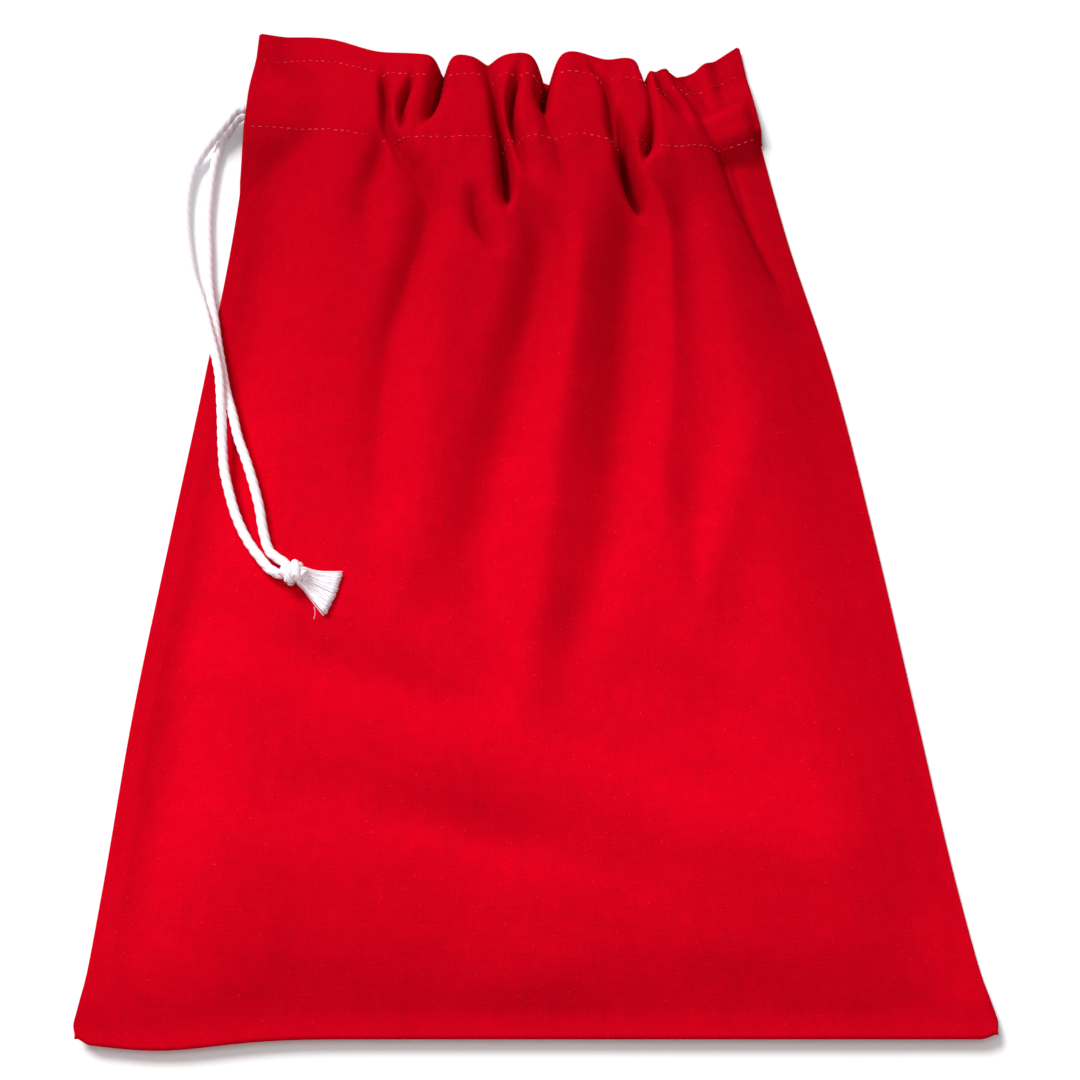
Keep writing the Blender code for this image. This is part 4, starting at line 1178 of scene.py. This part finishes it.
class POUCH_OT_stage(bpy.types.Operator):
    """Adds the camera, the lights and the floor"""
    bl_idname = "pouch.stage"
    bl_label = "Camera, lights and floor"

    def execute(self, context):
        stage = context.scene.pouch_stage
        lens = bpy.data.cameras.new("camera")
        lens.lens, lens.sensor_width, lens.clip_start = stage.lens, 36, 0.01
        context.scene.camera = put("camera", lens, stage.camera, (stage.tilt, 0, 0))
        key = bpy.data.lights.new("key_light", "SUN")
        key.energy, key.angle = stage.key, stage.key_width
        aim = (-Vector(stage.key_from)).to_track_quat("-Z", "Y").to_euler()
        put("key_light", key, stage.key_from, aim)
        fill = bpy.data.lights.new("fill_light", "AREA")
        fill.energy, fill.size = stage.fill, stage.fill_size
        put("fill_light", fill, stage.fill_at)
        world = bpy.data.worlds.new("even_light")
        world.use_nodes = True
        sky = world.node_tree.nodes["Background"]
        sky.inputs["Color"].default_value = (1, 1, 1, 1)
        sky.inputs["Strength"].default_value = stage.sky
        context.scene.world = world
        context.scene.view_settings.view_transform = "Standard"
        half, low = 3.0, -0.2 * MM
        corners = np.array([(x * half, y * half, low)
                            for x, y in ((-1, -1), (1, -1), (1, 1), (-1, 1))])
        floor = add_mesh("floor", corners, [np.array([[0, 1, 2, 3]])],
                         plain_floor("floor_paper", stage.floor))
        return {"FINISHED"}


class POUCH_OT_cord(bpy.types.Operator):
    """Adds the plied cord: its two free strands, and its length in the channel"""
    bl_idname = "pouch.cord"
    bl_label = "Cord"

    def execute(self, context):
        cord, cloth = context.scene.pouch_cord, context.scene.pouch_cloth
        look = plied_cotton("plied_cotton", cord)
        lie = Lie(cloth, cord)
        knot = dress(cord_piece("overhand_knot", knot_parts(cord), look), "white_cord", "cord_knot")
        tassel = make_tassel(lie, cord)
        for name, route, length, pieces in (
                ("upper_strand", UPPER_STRAND, cord.upper_length, [knot, tassel]),
                ("lower_strand", LOWER_STRAND, cord.lower_length, [knot])):
            line = smooth_line((*route, tuple(KNOT_AT)), 0.55 * MM)
            line[:, 2] += cord.lift * bridging(line[:, 1])
            made = cord_piece(name, plied_tube(line, cord.diameter / 2, cord), look)
            dress(made, "white_cord", "drawcord_" + name)
        held = channel_route(lie)
        inside = cord_piece("channel_cord", plied_tube(held, cord.diameter / 2, cord), look)
        dress(inside, "white_cord", "drawcord_in_channel")
        return {"FINISHED"}


def bridging(y):
    """0 where a free strand rests, at the pouch's edge and in the knot, and 1 halfway between."""
    return np.sin(math.pi * ramp(y, *BRIDGE)) ** 2


def make_tassel(lie, cord):
    """The frayed end: its fibres, and one loose fibre on the cloth below it."""
    chance = np.random.default_rng(3)
    lines, layer = tassel_lines(lie, cord.fibres, cord.tassel_length, chance)
    radius = chance.uniform(Fray.thin, Fray.thick, cord.fibres) * MM
    radius[::Fray.every] = Fray.bundle * MM
    points, faces = fibre_tubes(lines, radius)
    tint = Fray.tint - Fray.tint_drop * layer + chance.normal(0, Fray.tint_jitter, cord.fibres)
    tint = np.repeat(np.clip(tint, 0, 1), FIBRE_POINTS * FIBRE_SIDES)
    along = np.linspace(0, 1, FIBRE_POINTS)
    x = (Fray.stray_from[0] + Fray.stray_bend * np.sin(along * 3)) * MM
    y = (Fray.stray_from[1] - Fray.stray_length * along) * MM
    stray = np.stack([x, y, lie.ground(x, y) + Fray.stray_up * MM], -1)
    more, groups = fibre_tubes(stray[None], np.array([Fray.stray_radius * MM]))
    faces = faces + [group + len(points) for group in groups]
    points = np.concatenate([points, more])
    tint = np.concatenate([tint, np.full(len(more), Fray.stray_tint)])
    made = add_mesh("frayed_tassel", points, faces, frayed("frayed_cotton", cord),
                    values={"tint": tint})
    return dress(made, "white_cord", "cord_tassel")


class POUCH_OT_panels(bpy.types.Operator):
    """Adds the front and the back of the pouch"""
    bl_idname = "pouch.panels"
    bl_label = "Front and back"

    def execute(self, context):
        cloth, cord = context.scene.pouch_cloth, context.scene.pouch_cord
        lie = Lie(cloth, cord)
        look = cotton("red_cotton", cloth.red)
        back = dress(panel(lie, "back_cloth", look, False), "red_cotton", "back_panel")
        front = dress(panel(lie, "front_cloth", look, True), "red_cotton", "front_panel")
        return {"FINISHED"}


class POUCH_OT_stitches(bpy.types.Operator):
    """Adds the two rows of stitches on each panel"""
    bl_idname = "pouch.stitches"
    bl_label = "Stitches"

    def execute(self, context):
        scene = context.scene
        stitches = scene.pouch_stitches
        lie = Lie(scene.pouch_cloth, scene.pouch_cord)
        look = sewing_thread("sewing_thread", stitches.colour)
        for name, front in (("front_stitching", True), ("back_stitching", False)):
            lines = np.concatenate([stitch_row(lie, stitches, up, front)
                                    for up in (lie.lower, lie.upper)])
            if not front:
                lines[..., 2] = np.maximum(lines[..., 2], 0.5 * stitches.thread)
            points, faces = fibre_tubes(lines, np.full(len(lines), stitches.thread / 2), 6)
            dress(add_mesh(name, points, faces, look), "red_cotton")
        return {"FINISHED"}


class POUCH_PT_panel(bpy.types.Panel):
    """The pouch's pieces and their sizes"""
    bl_idname = "POUCH_PT_panel"
    bl_label = "Drawstring pouch"
    bl_space_type = "VIEW_3D"
    bl_region_type = "UI"
    bl_category = "Pouch"

    def draw(self, context):
        for group, operators in (("pouch_stage", ("pouch.stage",)),
                                 ("pouch_cord", ("pouch.cord",)),
                                 ("pouch_cloth", ("pouch.panels",)),
                                 ("pouch_stitches", ("pouch.stitches",))):
            box = self.layout.box()
            for operator in operators:
                box.operator(operator)
            settings = getattr(context.scene, group)
            for name in type(settings).__annotations__:
                box.prop(settings, name)


GROUPS = {"pouch_stage": PouchStage, "pouch_cord": PouchCord, "pouch_cloth": PouchCloth,
          "pouch_stitches": PouchStitches}
CLASSES = (*GROUPS.values(), POUCH_OT_stage, POUCH_OT_cord, POUCH_OT_panels, POUCH_OT_stitches,
           POUCH_PT_panel)


def register():
    for item in CLASSES:
        bpy.utils.register_class(item)
    for name, group in GROUPS.items():
        setattr(bpy.types.Scene, name, PointerProperty(type=group))


def unregister():
    for name in GROUPS:
        delattr(bpy.types.Scene, name)
    for item in reversed(CLASSES):
        bpy.utils.unregister_class(item)


def main():
    """Registers the classes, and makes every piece."""
    register()
    bpy.ops.pouch.stage()
    bpy.ops.pouch.cord()
    bpy.ops.pouch.panels()
    bpy.ops.pouch.stitches()


if __name__ == "__main__":
    main()
